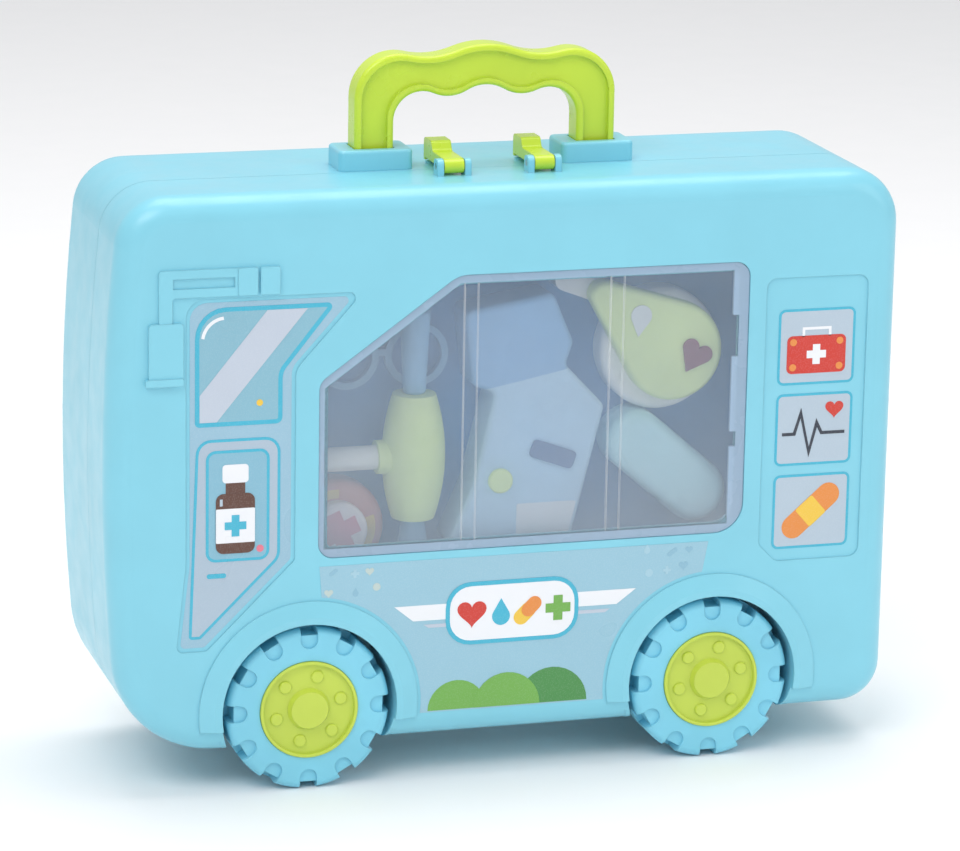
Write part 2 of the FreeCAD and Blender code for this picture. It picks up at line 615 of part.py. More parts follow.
class Shell:
    """One half of the case. side is +1 for the window side (-Y) and -1 for the rear side."""

    def __init__(self, name, side):
        self.body = new_body(name)
        self.side = side
        self.outward = {"Reversed": side < 0}
        self.inward = {"Reversed": side > 0}

    def sketch(self, name, distance):
        """Sketch parallel to the outer face, at a distance from the middle of the case."""
        return new_sketch(self.body, name, out=self.side * distance)

    def raise_pad(self, sketch, height):
        return feature(self.body, "Pad", sketch, Length=height, **self.outward)

    def inner_pad(self, sketch, length):
        return feature(self.body, "Pad", sketch, Length=length, **self.inward)

    def cut(self, sketch, depth):
        return feature(self.body, "Pocket", sketch, Length=depth, **self.outward)

    def rough(self):
        """Hollow half with rounded corners, open at the parting plane."""
        start = S.parting_offset * self.side + S.seam_gap / 2
        sketch = self.sketch("outline", start)
        corners = body_outline(sketch)
        last = self.raise_pad(sketch, face - start)
        radii = (S.nose_low_radius, S.tail_low_radius, S.tail_top_radius, S.nose_top_radius)
        for (x, z), radius in zip(corners, radii):
            def upright(edge, x=x, z=z):
                return lies_at(edge, "x", x.value) and lies_at(edge, "z", z.value)
            last = fillet(self.body, last, edge_names(last.Shape, upright), radius)
        outer_y = -self.side * face.value
        rim = edge_names(last.Shape, lambda edge: lies_at(edge, "y", outer_y))
        last = fillet(self.body, last, rim, S.edge_radius)
        open_y = -self.side * start.value
        mouth = face_names(last.Shape, lambda item: lies_at(item, "y", open_y))
        hollow = self.body.newObject("PartDesign::Thickness", self.body.Name + "_hollow")
        hollow.Base = (last, mouth)
        bind(hollow, "Value", S.wall)
        hollow.Reversed = True
        update(hollow)

    def wheel_wells(self):
        """Cups that the wheels stand in, with flared arches and axle bosses."""
        wheels = (wheel_left_x, wheel_right_x)
        cups = self.sketch("cups", well_back - S.wall)
        for x in wheels:
            circle(cups, x, axle_z, arch_inner + S.wall)
        self.raise_pad(cups, S.well_depth + S.wall / 2)
        for x in wheels:
            flare = new_sketch(self.body, "flare", "YZ_Plane", up=axle_z, out=x)
            out = -self.side
            outline(flare, [
                (out * (face - S.wall), arch_inner), (out * (face + S.arch_proud), arch_inner),
                (out * (face + S.arch_proud), arch_inner + S.arch_crest),
                (out * (face + S.arch_step), arch_outer), (out * (face - S.wall), arch_outer)][::out])
            below = Size(2 * math.degrees(math.asin(S.arch_fall.value / arch_outer.value)) + FULL_TURN / 2,
                         "(2 * asin(%s / %s) + 180 deg)" % (S.arch_fall.formula, arch_outer.formula))
            revolve(self.body, flare, Midplane=True, Angle=below)
        floor_cut = self.sketch("floor_cut", face + S.arch_proud + S.overrun)
        rectangle(floor_cut, -half_length - S.overrun, -arch_outer,
                  half_length + S.overrun, S.body_bottom)
        self.cut(floor_cut, S.case_depth)
        self.sill_cut()
        wells = self.sketch("wells", face + S.overrun)
        for x in wheels:
            circle(wells, x, axle_z, arch_inner)
        self.cut(wells, S.well_depth + S.overrun)
        bosses = self.sketch("bosses", well_back - S.wall / 2)
        for x in wheels:
            circle(bosses, x, axle_z, S.axle_boss_radius)
        self.inner_pad(bosses, S.axle_boss + S.wall / 2)
        bores = self.sketch("bores", face)
        for x in wheels:
            circle(bores, x, axle_z, S.axle_radius + S.press_gap)
        self.cut(bores, S.well_depth + S.wall + S.axle_boss + S.overrun)

    def sill_cut(self):
        """Trim the cups and flares along the rounded lower edge."""
        out = -self.side
        radius = S.edge_radius + S.seat_gap
        inner, middle_z = face - S.edge_radius, S.body_bottom + S.edge_radius
        far, low = face + S.arch_proud + S.overrun, S.body_bottom - S.seat_gap - S.overrun
        corners = [(inner, low), (far, low), (far, middle_z), (inner + radius, middle_z),
                   (inner, middle_z - radius)]
        arcs = {3: (radius, -1)}
        if out < 0:
            corners = corners[::-1]
            arcs = {0: (radius, -1)}
        sill = new_sketch(self.body, "sill", "YZ_Plane")
        outline(sill, [(out * y, z) for y, z in corners], arcs)
        feature(self.body, "Pocket", sill, Length=S.case_length, SideType="Symmetric")

    def side_panels(self):
        """Sunk door and tail panels, and the mirror."""
        door = self.sketch("door", face + S.overrun)
        rounded(door, door_corners())
        cut, corner = S.tail_panel_cut, S.tail_panel_round
        left, right = tail - S.tail_panel_left, tail - S.tail_panel_right
        rounded(door, [
            (left + cut, S.tail_panel_low, corner), (right, S.tail_panel_low, corner),
            (right, S.tail_panel_top, corner), (left, S.tail_panel_top, corner),
            (left, S.tail_panel_low + cut, corner)])
        self.cut(door, S.panel_sink + S.overrun)
        self.mirror()

    def mirror(self):
        """Raised mirror block with a lip, on a slotted arm that ends in two plates."""
        root_face = face - S.wall / 2
        low, top, margin = S.mirror_bar_low, S.mirror_bar_top, S.mirror_slot_margin
        leg_left, bar_right = nose + S.mirror_bar_left, nose + S.mirror_bar_right
        leg_right, foot = leg_left + S.mirror_leg, S.mirror_top - S.overrun
        arm = self.sketch("arm", root_face)
        rounded(arm, [
            (leg_left, foot, 0), (leg_right, foot, 0), (leg_right, low, S.mirror_round),
            (bar_right, low, 0), (bar_right, top, 0), (leg_left, top, S.mirror_round)])
        rectangle(arm, nose + S.mirror_slot_left, low + margin, nose + S.mirror_slot_right, top - margin)
        self.raise_pad(arm, S.relief + S.wall / 2)
        blocks = self.sketch("blocks", root_face)
        left, right = nose + S.mirror_left, nose + S.mirror_right
        rectangle(blocks, left, S.mirror_low, right, S.mirror_top, S.mirror_round)
        for number in range(2):
            start = bar_right + number * (S.arm_plate + S.arm_plate_gap) - S.overrun / 4
            rectangle(blocks, start, low, start + S.arm_plate, top, S.mirror_round / 2)
        self.raise_pad(blocks, S.relief * 3 / 2 + S.wall / 2)
        lip = self.sketch("lip", root_face)
        rectangle(lip, left - S.mirror_lip_side, S.mirror_low, right, S.mirror_low + S.mirror_lip,
                  S.mirror_round / 2)
        self.raise_pad(lip, S.relief * 9 / 4 + S.wall / 2)

    def hinge(self, numbers):
        """Knuckles under the body on the parting plane, each on a leaf of its own half."""
        pitch = S.knuckle_length + S.knuckle_gap
        near_y, far_y = -self.side * S.seam_gap, -self.side * S.knuckle_radius
        low_y, high_y = (far_y, near_y) if self.side > 0 else (near_y, far_y)
        leaves = new_sketch(self.body, "leaves", "XY_Plane", up=parting_y, out=hinge_z)
        knuckles = new_sketch(self.body, "knuckles", "XY_Plane", up=parting_y, out=hinge_z)
        for number in numbers:
            start = pitch * (number - KNUCKLES / 2) + S.knuckle_gap / 2
            rectangle(leaves, start, low_y, start + S.knuckle_length, high_y)
            rectangle(knuckles, start, 0, start + S.knuckle_length, S.knuckle_radius)
        feature(self.body, "Pad", leaves, Length=S.hinge_drop + S.wall / 2)
        revolve(self.body, knuckles)
        gap = S.running_gap if self.side > 0 else S.press_gap
        bore = new_sketch(self.body, "hinge_bore", "YZ_Plane", across=parting_y, up=hinge_z)
        circle(bore, 0, 0, S.hinge_pin_radius + gap)
        feature(self.body, "Pocket", bore, Length=pitch * (KNUCKLES + 1), SideType="Symmetric")


def front_shell():
    shell = Shell("front_shell", 1)
    shell.rough()
    shell.wheel_wells()
    shell.side_panels()
    ledge = shell.sketch("ledge", face - S.wall - S.ledge_thick)
    rounded(ledge, window_corners(S.ledge_land, S.ledge_land))
    shell.raise_pad(ledge, S.ledge_thick + S.wall / 2)
    rebate = shell.sketch("rebate", face + S.overrun)
    rounded(rebate, window_corners(S.seat_gap, S.seat_gap))
    shell.cut(rebate, S.wall + S.overrun)
    opening = shell.sketch("opening", face + S.overrun)
    rounded(opening, window_corners(-S.window_ledge, -S.window_ledge))
    shell.cut(opening, S.wall + S.ledge_thick + S.overrun * 2)
    notches = shell.sketch("notches", face + S.overrun)
    for box in hook_boxes(S.seat_gap):
        rectangle(notches, *box)
    shell.cut(notches, S.wall + S.ledge_thick + S.overrun * 2)
    posts = shell.sketch("posts", face - S.wall / 2)
    for x, z in post_places():
        circle(posts, x, z, S.post_radius)
    shell.inner_pad(posts, face - S.wall / 2 - S.tray_seat)
    pilots = shell.sketch("pilots", S.tray_seat)
    for x, z in post_places():
        circle(pilots, x, z, S.screw_radius + S.press_gap)
    feature(shell.body, "Pocket", pilots, Length=S.screw_length, Reversed=True)
    latch_ears(shell.body)
    bore = new_sketch(shell.body, "latch_bore", "YZ_Plane", across=S.latch_pivot_y, up=latch_pivot_z)
    circle(bore, 0, 0, S.latch_pin_radius + S.press_gap)
    feature(shell.body, "Pocket", bore, Length=S.latch_x * 4, SideType="Symmetric")
    shell.hinge((1, 3))
    return keep(shell.body)


def latch_ears(body):
    """Two round-topped ears beside each latch."""
    ears = new_sketch(body, "ears", "XY_Plane", out=S.roof_height - S.wall / 2)
    for middle in (-S.latch_x, S.latch_x):
        for side in (-1, 1):
            near_x = middle + side * (S.latch_width / 2 + S.swing_gap)
            far_x = near_x + side * S.latch_ear
            left, right = (near_x, far_x) if side > 0 else (far_x, near_x)
            rectangle(ears, left, S.latch_pivot_y - S.latch_barrel, right, S.latch_pivot_y + S.latch_barrel)
    pad = feature(body, "Pad", ears, Length=S.latch_pivot_rise + S.latch_barrel + S.wall / 2)
    top = (latch_pivot_z + S.latch_barrel).value
    edges = edge_names(pad.Shape, lambda edge: lies_at(edge, "z", top) and near(edge.BoundBox.YLength, 0))
    fillet(body, pad, edges, S.latch_barrel * 3 / 4)


def rear_shell():
    shell = Shell("rear_shell", -1)
    shell.rough()
    shell.wheel_wells()
    shell.side_panels()
    blank = shell.sketch("blank", face - S.wall / 2)
    rounded(blank, window_corners(0, 0))
    shell.raise_pad(blank, S.blank_proud + S.wall / 2)
    holes = new_sketch(shell.body, "leg_holes", "XY_Plane", out=S.roof_height + S.overrun)
    for x in (-leg_x, leg_x):
        rectangle(holes, x - sleeve_x - S.seat_gap, -sleeve_y - S.seat_gap,
                  x + sleeve_x + S.seat_gap, sleeve_y + S.seat_gap)
    feature(shell.body, "Pocket", holes, Length=S.wall + S.overrun * 2)
    catches = new_sketch(shell.body, "catches", "XY_Plane", out=S.roof_height - S.wall / 2)
    for x in (-S.latch_x, S.latch_x):
        back = S.latch_tip_y - S.latch_hook - S.swing_gap
        rectangle(catches, x - S.latch_width / 2, back - S.catch_width, x + S.latch_width / 2, back)
    feature(shell.body, "Pad", catches, Length=S.catch_rise + S.wall / 2)
    shell.hinge((0, 2, 4))
    return keep(shell.body)


def hook_boxes(grow):
    """Left, low, right, top of each snap hook of the window, grown by a margin."""
    half = S.hook_long / 2 + grow
    middle_x = (S.window_left + S.window_right) / 2
    middle_z = (S.window_low + S.window_top) / 2
    near_side = S.hook_inset - grow
    far_side = S.hook_inset + S.hook_thick + grow
    boxes = []
    for way in (-1, 1):
        z = middle_z + way * S.hook_side_spread
        boxes.append((S.window_right - far_side, z - half, S.window_right - near_side, z + half))
    for way in (-1, 1):
        x = middle_x + way * S.hook_top_spread
        boxes.append((x - half, S.window_low + near_side, x + half, S.window_low + far_side))
    x = middle_x + S.hook_top_spread
    boxes.append((x - half, S.window_top - far_side, x + half, S.window_top - near_side))
    z = S.window_low + S.hook_top_spread
    boxes.append((S.window_left + near_side, z - half, S.window_left + far_side, z + half))
    return boxes


def window_panel():
    body = new_body("window_panel")
    back = face - S.wall
    plate = new_sketch(body, "plate", out=back)
    rounded(plate, window_corners(0, 0))
    feature(body, "Pad", plate, Length=S.window_thick)
    for x in (S.flute_left_x, S.flute_right_x):
        flute = new_sketch(body, "flute", out=back + S.window_thick / 2)
        rectangle(flute, x - S.flute_width / 2, S.window_low + S.window_ledge,
                  x + S.flute_width / 2, S.window_top - S.window_ledge, S.flute_width / 4)
        feature(body, "Pad", flute, Length=S.window_thick / 2 + S.flute_rise)
    hooks = new_sketch(body, "hooks", out=back + S.window_thick / 2)
    for box in hook_boxes(0):
        rectangle(hooks, *box)
    feature(body, "Pad", hooks, Length=S.hook_reach + S.window_thick / 2, Reversed=True)
    bites = new_sketch(body, "bites", out=back - S.ledge_thick - S.hook_bite_gap)
    for left, low, right, top in hook_boxes(0):
        rectangle(bites, left - S.hook_bite, low - S.hook_bite, right + S.hook_bite, top + S.hook_bite)
    feature(body, "Pad", bites, Length=S.hook_reach - S.ledge_thick - S.hook_bite_gap, Reversed=True)
    return keep(body)


def post_places():
    xs = (S.tray_left + S.post_inset, S.tray_right - S.post_inset)
    zs = (S.tray_low + S.post_inset, S.tray_top - S.post_inset)
    return [(x, z) for x in xs for z in zs]


def toy_tray():
    body = new_body("toy_tray")
    plate = new_sketch(body, "plate", out=S.tray_seat)
    rectangle(plate, S.tray_left, S.tray_low, S.tray_right, S.tray_top, S.tray_round)
    for x, z in post_places():
        circle(plate, x, z, S.screw_radius + S.seat_gap)
    feature(body, "Pad", plate, Length=S.tray_thick, Reversed=True)
    return keep(body)


def tray_screws():
    """Four screws with crossed heads, kept as one group."""
    screws = []
    seat = tray_y + S.tray_thick
    for number, (x, z) in enumerate(post_places()):
        body = new_body("tray_screw_%d" % number)
        head = new_sketch(body, "head", "XZ_Plane", across=x, up=z, out=-seat)
        circle(head, 0, 0, S.screw_head_radius)
        feature(body, "Pad", head, Length=S.screw_head, Reversed=True)
        shank = new_sketch(body, "shank", "XZ_Plane", across=x, up=z, out=-seat)
        circle(shank, 0, 0, S.screw_radius)
        feature(body, "Pad", shank, Length=S.screw_length)
        for wide, tall in ((S.screw_head_radius, S.screw_slot), (S.screw_slot, S.screw_head_radius)):
            slot = new_sketch(body, "slot", "XZ_Plane", across=x, up=z, out=-seat - S.screw_head)
            rectangle(slot, -wide / 2, -tall / 2, wide / 2, tall / 2)
            feature(body, "Pocket", slot, Length=S.screw_slot, Reversed=True)
        screws.append(body)
    group = doc.addObject("Part::Compound", "tray_screws")
    group.Links = screws
    group.Label = "tray_screws"
    return keep(group)


def tyre(name, x, side):
    """Wheel about the Y axis; its side wall faces -Y before it is placed."""
    body = new_body(name)
    wall_y = -S.tyre_width / 2
    inner = S.tyre_width / 2
    profile = new_sketch(body, "profile", "YZ_Plane")
    hollow = S.tyre_radius - S.tyre_rim
    seat = S.hub_radius + S.seat_gap
    bore = S.axle_radius + S.running_gap
    web = wall_y + S.hub_recess + S.tyre_web
    rounded(profile, [
        (wall_y + S.hub_recess, bore, 0), (tyre_inner_end, bore, 0),
        (tyre_inner_end, S.tyre_boss_radius, S.tyre_chamfer), (web, S.tyre_boss_radius, S.tyre_chamfer),
        (web, hollow, S.tyre_chamfer), (inner, hollow, 0), (inner, S.tyre_radius - S.tyre_chamfer, 0),
        (inner - S.tyre_chamfer, S.tyre_radius, 0), (wall_y, S.tyre_radius, S.tyre_shoulder),
        (wall_y, seat, 0), (wall_y + S.hub_recess, seat, 0)])
    revolve(body, profile)
    notch = new_sketch(body, "notch", out=-wall_y + S.overrun)
    rectangle(notch, -S.notch_width / 2, S.tyre_radius - S.notch_reach,
              S.notch_width / 2, S.tyre_radius + S.overrun)
    deep = feature(body, "Pocket", notch, Length=S.notch_length + S.overrun)
    scoop = new_sketch(body, "scoop", out=-wall_y + S.overrun)
    start = S.tyre_radius - S.scoop_reach + S.notch_width / 2
    half = S.notch_width / 2
    outline(scoop, [(half, start), (half, S.tyre_radius + S.overrun), (-half, S.tyre_radius + S.overrun),
                    (-half, start), (0, start - half)], {3: (half, 1), 4: (half, 1)})
    shallow = feature(body, "Pocket", scoop, Length=S.scoop_depth + S.overrun)
    polar(body, [deep, shallow], "Y_Axis", NOTCHES)
    move(body, x, -side * wheel_y, axle_z, 0 if side > 0 else FULL_TURN / 2)
    return keep(body)


def hub_cap(name, x, side):
    body = new_body(name)
    wall_y = -S.tyre_width / 2
    seat = wall_y + S.hub_recess
    dish = wall_y + S.hub_face_sink
    lip = wall_y - S.hub_lip_proud
    top = wall_y - S.hub_boss_proud
    profile = new_sketch(body, "profile", "YZ_Plane")
    inner = S.hub_radius - S.hub_lip - S.hub_skin
    rounded(profile, [
        (top, 0, 0), (dish + S.hub_skin, 0, 0), (dish + S.hub_skin, inner, 0), (seat, inner, 0),
        (seat, S.hub_radius, 0), (lip, S.hub_radius, S.hub_lip / 3),
        (lip, S.hub_radius - S.hub_lip, S.hub_lip / 3), (dish, S.hub_radius - S.hub_lip, 0),
        (dish, S.hub_boss_radius, 0), (top, S.hub_boss_radius - S.hub_boss_edge, 0)])
    revolve(body, profile)
    lug = new_sketch(body, "lug", out=-dish - S.hub_skin / 2)
    angle = math.radians(S.lug_first_angle.value)
    lug_x = Size(S.lug_circle.value * math.cos(angle),
                 "(%s * cos(%s * 1 deg))" % (S.lug_circle.formula, S.lug_first_angle.formula))
    lug_z = Size(S.lug_circle.value * math.sin(angle),
                 "(%s * sin(%s * 1 deg))" % (S.lug_circle.formula, S.lug_first_angle.formula))
    circle(lug, lug_x, lug_z, S.lug_radius)
    bump = feature(body, "Pad", lug, Length=S.lug_proud + S.hub_skin / 2)
    pattern = polar(body, [bump], "Y_Axis", LUGS)
    lug_top = (dish - S.lug_proud).value
    tops = edge_names(pattern.Shape, lambda edge: lies_at(edge, "y", lug_top)
                      and near(edge.Curve.Radius, S.lug_radius.value))
    fillet(body, pattern, tops, S.lug_round)
    move(body, x, -side * wheel_y, axle_z, 0 if side > 0 else FULL_TURN / 2)
    return keep(body)


def axle_pin(name, x, side):
    """Stub axle with a head, turned about the Y axis; y is measured from the wheel's middle."""
    body = new_body(name)
    head = -S.tyre_width / 2 + S.hub_recess - S.axle_play
    end = wheel_y - well_back + S.wall + S.axle_boss
    profile = new_sketch(body, "profile", "YZ_Plane")
    rounded(profile, [
        (head - S.axle_head, 0, 0), (end, 0, 0), (end, S.axle_radius, 0), (head, S.axle_radius, 0),
        (head, S.axle_head_radius, 0), (head - S.axle_head, S.axle_head_radius, S.axle_head / 2)])
    revolve(body, profile)
    move(body, x, -side * wheel_y, axle_z, 0 if side > 0 else FULL_TURN / 2)
    return keep(body)


def hinge_pin():
    body = new_body("hinge_pin")
    length = (S.knuckle_length + S.knuckle_gap) * KNUCKLES
    sketch = new_sketch(body, "section", "YZ_Plane", across=parting_y, up=hinge_z)
    circle(sketch, 0, 0, S.hinge_pin_radius)
    feature(body, "Pad", sketch, Length=length, SideType="Symmetric")
    return keep(body)


def wave_end(wave, out, radius, dip, side):
    """Where the last dip of a wavy edge ends, and the arc from there to an upright side."""
    sine = out / radius
    cosine = root(1 - sine * sine)
    x, z = wave + out, dip + radius * (1 - cosine)
    corner = (side - x) / (1 + sine)
    return x, z, corner, z - corner * cosine


def handle_outline(sketch, rim, foot):
    """U-shaped outline with wavy grip, drawn inside the handle edge by the width of a rim."""
    outer, inner = S.handle_half - rim, S.handle_half - S.handle_leg + rim
    top, under = S.grip_top - rim, S.finger_level + rim
    hump = wave_radius(S.grip_wave, S.grip_swell)
    finger = wave_radius(S.finger_wave, S.finger_swell)
    crest_x, finger_x = S.grip_wave / 2, S.finger_wave / 2
    out_x, out_z, shoulder, shoulder_z = wave_end(S.grip_wave, S.grip_out, hump, top - S.grip_swell, outer)
    in_x, in_z, elbow, elbow_z = wave_end(S.finger_wave, S.finger_out, finger,
                                          under - S.finger_swell, inner)
    outline(sketch, [
        (outer, foot), (outer, shoulder_z), (out_x, out_z), (crest_x, top), (-crest_x, top),
        (-out_x, out_z), (-outer, shoulder_z), (-outer, foot), (-inner, foot), (-inner, elbow_z),
        (-in_x, in_z), (-finger_x, under), (finger_x, under), (in_x, in_z), (inner, elbow_z),
        (inner, foot)],
        {1: (shoulder, 1), 2: (hump, -1), 3: (hump, 1), 4: (hump, -1), 5: (shoulder, 1),
         9: (elbow, -1), 10: (finger, 1), 11: (finger, -1), 12: (finger, 1), 13: (elbow, -1)})


def pull_handle():
    body = new_body("pull_handle")
    sketch = new_sketch(body, "outline")
    handle_outline(sketch, sized(0), handle_foot)
    pad = feature(body, "Pad", sketch, Length=S.handle_thick, SideType="Symmetric")
    half = S.handle_thick.value / 2
    edges = edge_names(pad.Shape, lambda edge: lies_at(edge, "y", half) or lies_at(edge, "y", -half))
    fillet(body, pad, edges, S.handle_edge)
    for side in (1, -1):
        channel = new_sketch(body, "channel", out=side * S.handle_thick / 2)
        handle_outline(channel, S.handle_rim, handle_foot + S.stop_cover)
        feature(body, "Pocket", channel, Length=S.handle_channel, Reversed=side < 0)
    return keep(body)


def handle_stop(name, x):
    """Cap on the foot of a leg; it meets the sleeve when the handle is fully out."""
    body = new_body(name)
    wide, deep = S.handle_leg / 2 + S.press_gap, S.handle_thick / 2 + S.press_gap
    wall = S.stop_wall
    block = new_sketch(body, "block", "XY_Plane", across=x, out=handle_foot - S.stop_floor)
    rectangle(block, -wide - wall, -deep - wall, wide + wall, deep + wall, wall)
    feature(body, "Pad", block, Length=S.stop_floor + S.stop_cover)
    socket = new_sketch(body, "socket", "XY_Plane", across=x, out=handle_foot + S.stop_cover)
    rectangle(socket, -wide, -deep, wide, deep)
    feature(body, "Pocket", socket, Length=S.stop_cover)
    return keep(body)


def handle_guide(name, x):
    """Sleeve through the roof with a raised collar and snap lugs under the roof."""
    body = new_body(name)
    sleeve = new_sketch(body, "sleeve", "XY_Plane", across=x, out=S.guide_low)
    rectangle(sleeve, -sleeve_x, -sleeve_y, sleeve_x, sleeve_y)
    feature(body, "Pad", sleeve, Length=S.roof_height - S.guide_low)
    collar = new_sketch(body, "collar", "XY_Plane", across=x, out=S.roof_height)
    wide, deep = sleeve_x + S.collar_side, sleeve_y + S.collar_front
    rectangle(collar, -wide, -deep, wide, deep, S.collar_round)
    pad = feature(body, "Pad", collar, Length=S.collar_rise)
    top = (S.roof_height + S.collar_rise).value
    fillet(body, pad, edge_names(pad.Shape, lambda edge: lies_at(edge, "z", top)), S.collar_round / 2)
    lugs = new_sketch(body, "lugs", "XY_Plane", across=x, out=S.roof_height - S.wall - S.seat_gap)
    reach = sleeve_x + S.guide_lug
    rectangle(lugs, -reach, -sleeve_y / 2, reach, sleeve_y / 2)
    feature(body, "Pad", lugs, Length=S.guide_lug_height, Reversed=True)
    slot = new_sketch(body, "slot", "XY_Plane", across=x, out=S.roof_height + S.collar_rise + S.overrun)
    rectangle(slot, -S.handle_leg / 2 - S.slide_gap, -S.handle_thick / 2 - S.slide_gap,
              S.handle_leg / 2 + S.slide_gap, S.handle_thick / 2 + S.slide_gap)
    feature(body, "Pocket", slot, Length=S.roof_height + S.collar_rise - S.guide_low + S.overrun * 2)
    return keep(body)


def latch(name, x):
    """Lever that lies across the parting line; its hook drops behind the catch rib."""
    body = new_body(name)
    arm = new_sketch(body, "arm", "YZ_Plane", up=S.roof_height, out=x)
    tip, pivot = S.latch_tip_y, S.latch_pivot_y
    hook_low = S.catch_rise + S.swing_gap
    rounded(arm, [
        (pivot, S.latch_underside, 0), (tip - S.latch_hook, S.latch_underside, 0),
        (tip - S.latch_hook, hook_low, 0), (tip, hook_low, 0), (tip, S.latch_hump_rise, S.latch_round),
        (S.latch_hump_y, S.latch_hump_rise, S.latch_round),
        (S.latch_hump_y - S.latch_round, S.latch_arm_rise, S.latch_round),
        (pivot, S.latch_arm_rise, 0)])
    feature(body, "Pad", arm, Length=S.latch_width, SideType="Symmetric")
    barrel = new_sketch(body, "barrel", "YZ_Plane", across=pivot, up=latch_pivot_z, out=x)
    circle(barrel, 0, 0, S.latch_barrel)
    feature(body, "Pad", barrel, Length=S.latch_width, SideType="Symmetric")
    bore = new_sketch(body, "bore", "YZ_Plane", across=pivot, up=latch_pivot_z, out=x)
    circle(bore, 0, 0, S.latch_pin_radius + S.running_gap)
    feature(body, "Pocket", bore, Length=S.latch_width * 2, SideType="Symmetric")
    return keep(body)


def latch_pin(name, x):
    body = new_body(name)
    section = new_sketch(body, "section", "YZ_Plane", across=S.latch_pivot_y, up=latch_pivot_z, out=x)
    circle(section, 0, 0, S.latch_pin_radius)
    length = S.latch_width + (S.swing_gap + S.latch_ear) * 2
    feature(body, "Pad", section, Length=length, SideType="Symmetric")
    return keep(body)


def toy_disc(name, x, z, radius, start, thick, round_edge):
    """Round toy piece that stands on the tray or on another toy."""
    body = new_body(name)
    sketch = new_sketch(body, "outline", out=start)
    circle(sketch, x, z, radius)
    pad = feature(body, "Pad", sketch, Length=thick)
    top = -(start + thick).value
    fillet(body, pad, edge_names(pad.Shape, lambda edge: lies_at(edge, "y", top)), round_edge)
    return keep(body)


def hammer():
    axis_y = tray_y - S.hammer_radius
    half = S.hammer_length / 2
    head = new_body("hammer_head")
    profile = new_sketch(head, "profile", "YZ_Plane", across=axis_y, up=S.hammer_z, out=S.hammer_x)
    swell = S.hammer_radius - S.hammer_end_radius
    outline(profile, [(0, -half), (S.hammer_end_radius, -half), (S.hammer_end_radius, half), (0, half)],
            {1: (wave_radius(S.hammer_length, swell), 1)})
    revolve(head, profile, axis="V_Axis")
    neck = new_sketch(head, "neck", "XY_Plane", across=S.hammer_x, up=axis_y, out=S.hammer_z)
    corners = [(-S.hammer_neck, 0), (0, 0), (0, S.hammer_neck_root), (-S.hammer_neck, S.hammer_neck_radius)]
    outline(neck, corners, {2: (S.hammer_neck * 2, -1)})
    revolve(head, neck)
    socket = new_sketch(head, "socket", "YZ_Plane", across=axis_y, up=S.hammer_z,
                        out=S.hammer_x - S.hammer_neck - S.overrun)
    circle(socket, 0, 0, S.hammer_grip_radius + S.press_gap)
    feature(head, "Pocket", socket, Length=S.hammer_neck - S.hammer_radius / 2 + S.overrun, Reversed=True)
    keep(head)
    tips = doc.addObject("Part::Compound", "hammer_tips")
    ends = []
    for side, length in ((1, S.hammer_tip_top), (-1, S.hammer_tip_low)):
        tip = new_body("hammer_tip_%s" % ("upper" if side > 0 else "lower"))
        profile = new_sketch(tip, "profile", "YZ_Plane", across=axis_y, up=S.hammer_z, out=S.hammer_x)
        slim, wide = S.hammer_tip_radius, S.hammer_tip_radius + S.hammer_tip_swell
        corners = [(0, side * half, 0), (slim, side * half, slim / 3),
                   (wide, side * (half + length), wide / 3), (0, side * (half + length), 0)]
        rounded(profile, corners[::side])
        revolve(tip, profile, axis="V_Axis")
        ends.append(tip)
    tips.Links = ends
    tips.Label = "hammer_tips"
    keep(tips)
    grip = new_body("hammer_handle")
    start = S.hammer_x - S.hammer_radius / 2
    section = new_sketch(grip, "section", "YZ_Plane", across=axis_y, up=S.hammer_z, out=start)
    circle(section, 0, 0, S.hammer_grip_radius)
    pad = feature(grip, "Pad", section, Length=start - S.hammer_grip_end, Reversed=True)
    end_x = S.hammer_grip_end.value
    end_edge = edge_names(pad.Shape, lambda edge: lies_at(edge, "x", end_x))
    fillet(grip, pad, end_edge, S.hammer_grip_radius / 2)
    keep(grip)


def tilt_on(body, x, front, z, tilt):
    """Set a piece drawn about the origin on a face, turned clockwise as seen from the window side."""
    body.Placement = FreeCAD.Placement(Vector(), FreeCAD.Rotation(Vector(0, 1, 0), tilt.value))
    for axis, size in zip("xyz", (x, -front, z)):
        bind(body, "Placement.Base." + axis, size)
    bind(body, "Placement.Rotation.Angle", Size(tilt.value, tilt.formula + " * 1 deg"))


def on_thermometer(shares):
    """X and Z of a corner of the thermometer."""
    across, up = shares
    return S.thermometer_x + S.thermometer_width * across, S.thermometer_low + S.thermometer_height * up


def thermometer():
    body = new_body("thermometer_body")
    sketch = new_sketch(body, "outline", out=S.tray_seat)
    rounded(sketch, [on_thermometer(shares) + (S.thermometer_corner,) for shares in THERMOMETER_SHARES])
    pad = feature(body, "Pad", sketch, Length=S.thermometer_thick)
    front = S.tray_seat + S.thermometer_thick
    top = -front.value
    fillet(body, pad, edge_names(pad.Shape, lambda edge: lies_at(edge, "y", top)), S.thermometer_round)
    keep(body)
    display = new_body("thermometer_display")
    plate = new_sketch(display, "plate")
    half_width, half_height = S.display_width / 2, S.display_height / 2
    rectangle(plate, -half_width, -half_height, half_width, half_height, half_height / 2)
    feature(display, "Pad", plate, Length=S.detail_proud)
    tilt_on(display, S.thermometer_x + S.display_right, front, S.thermometer_low + S.display_up,
            S.display_tilt)
    keep(display)
    toy_disc("thermometer_button", S.thermometer_x - S.button_left, S.thermometer_low + S.button_up,
             S.button_radius, front, S.detail_proud * 2, S.detail_proud)


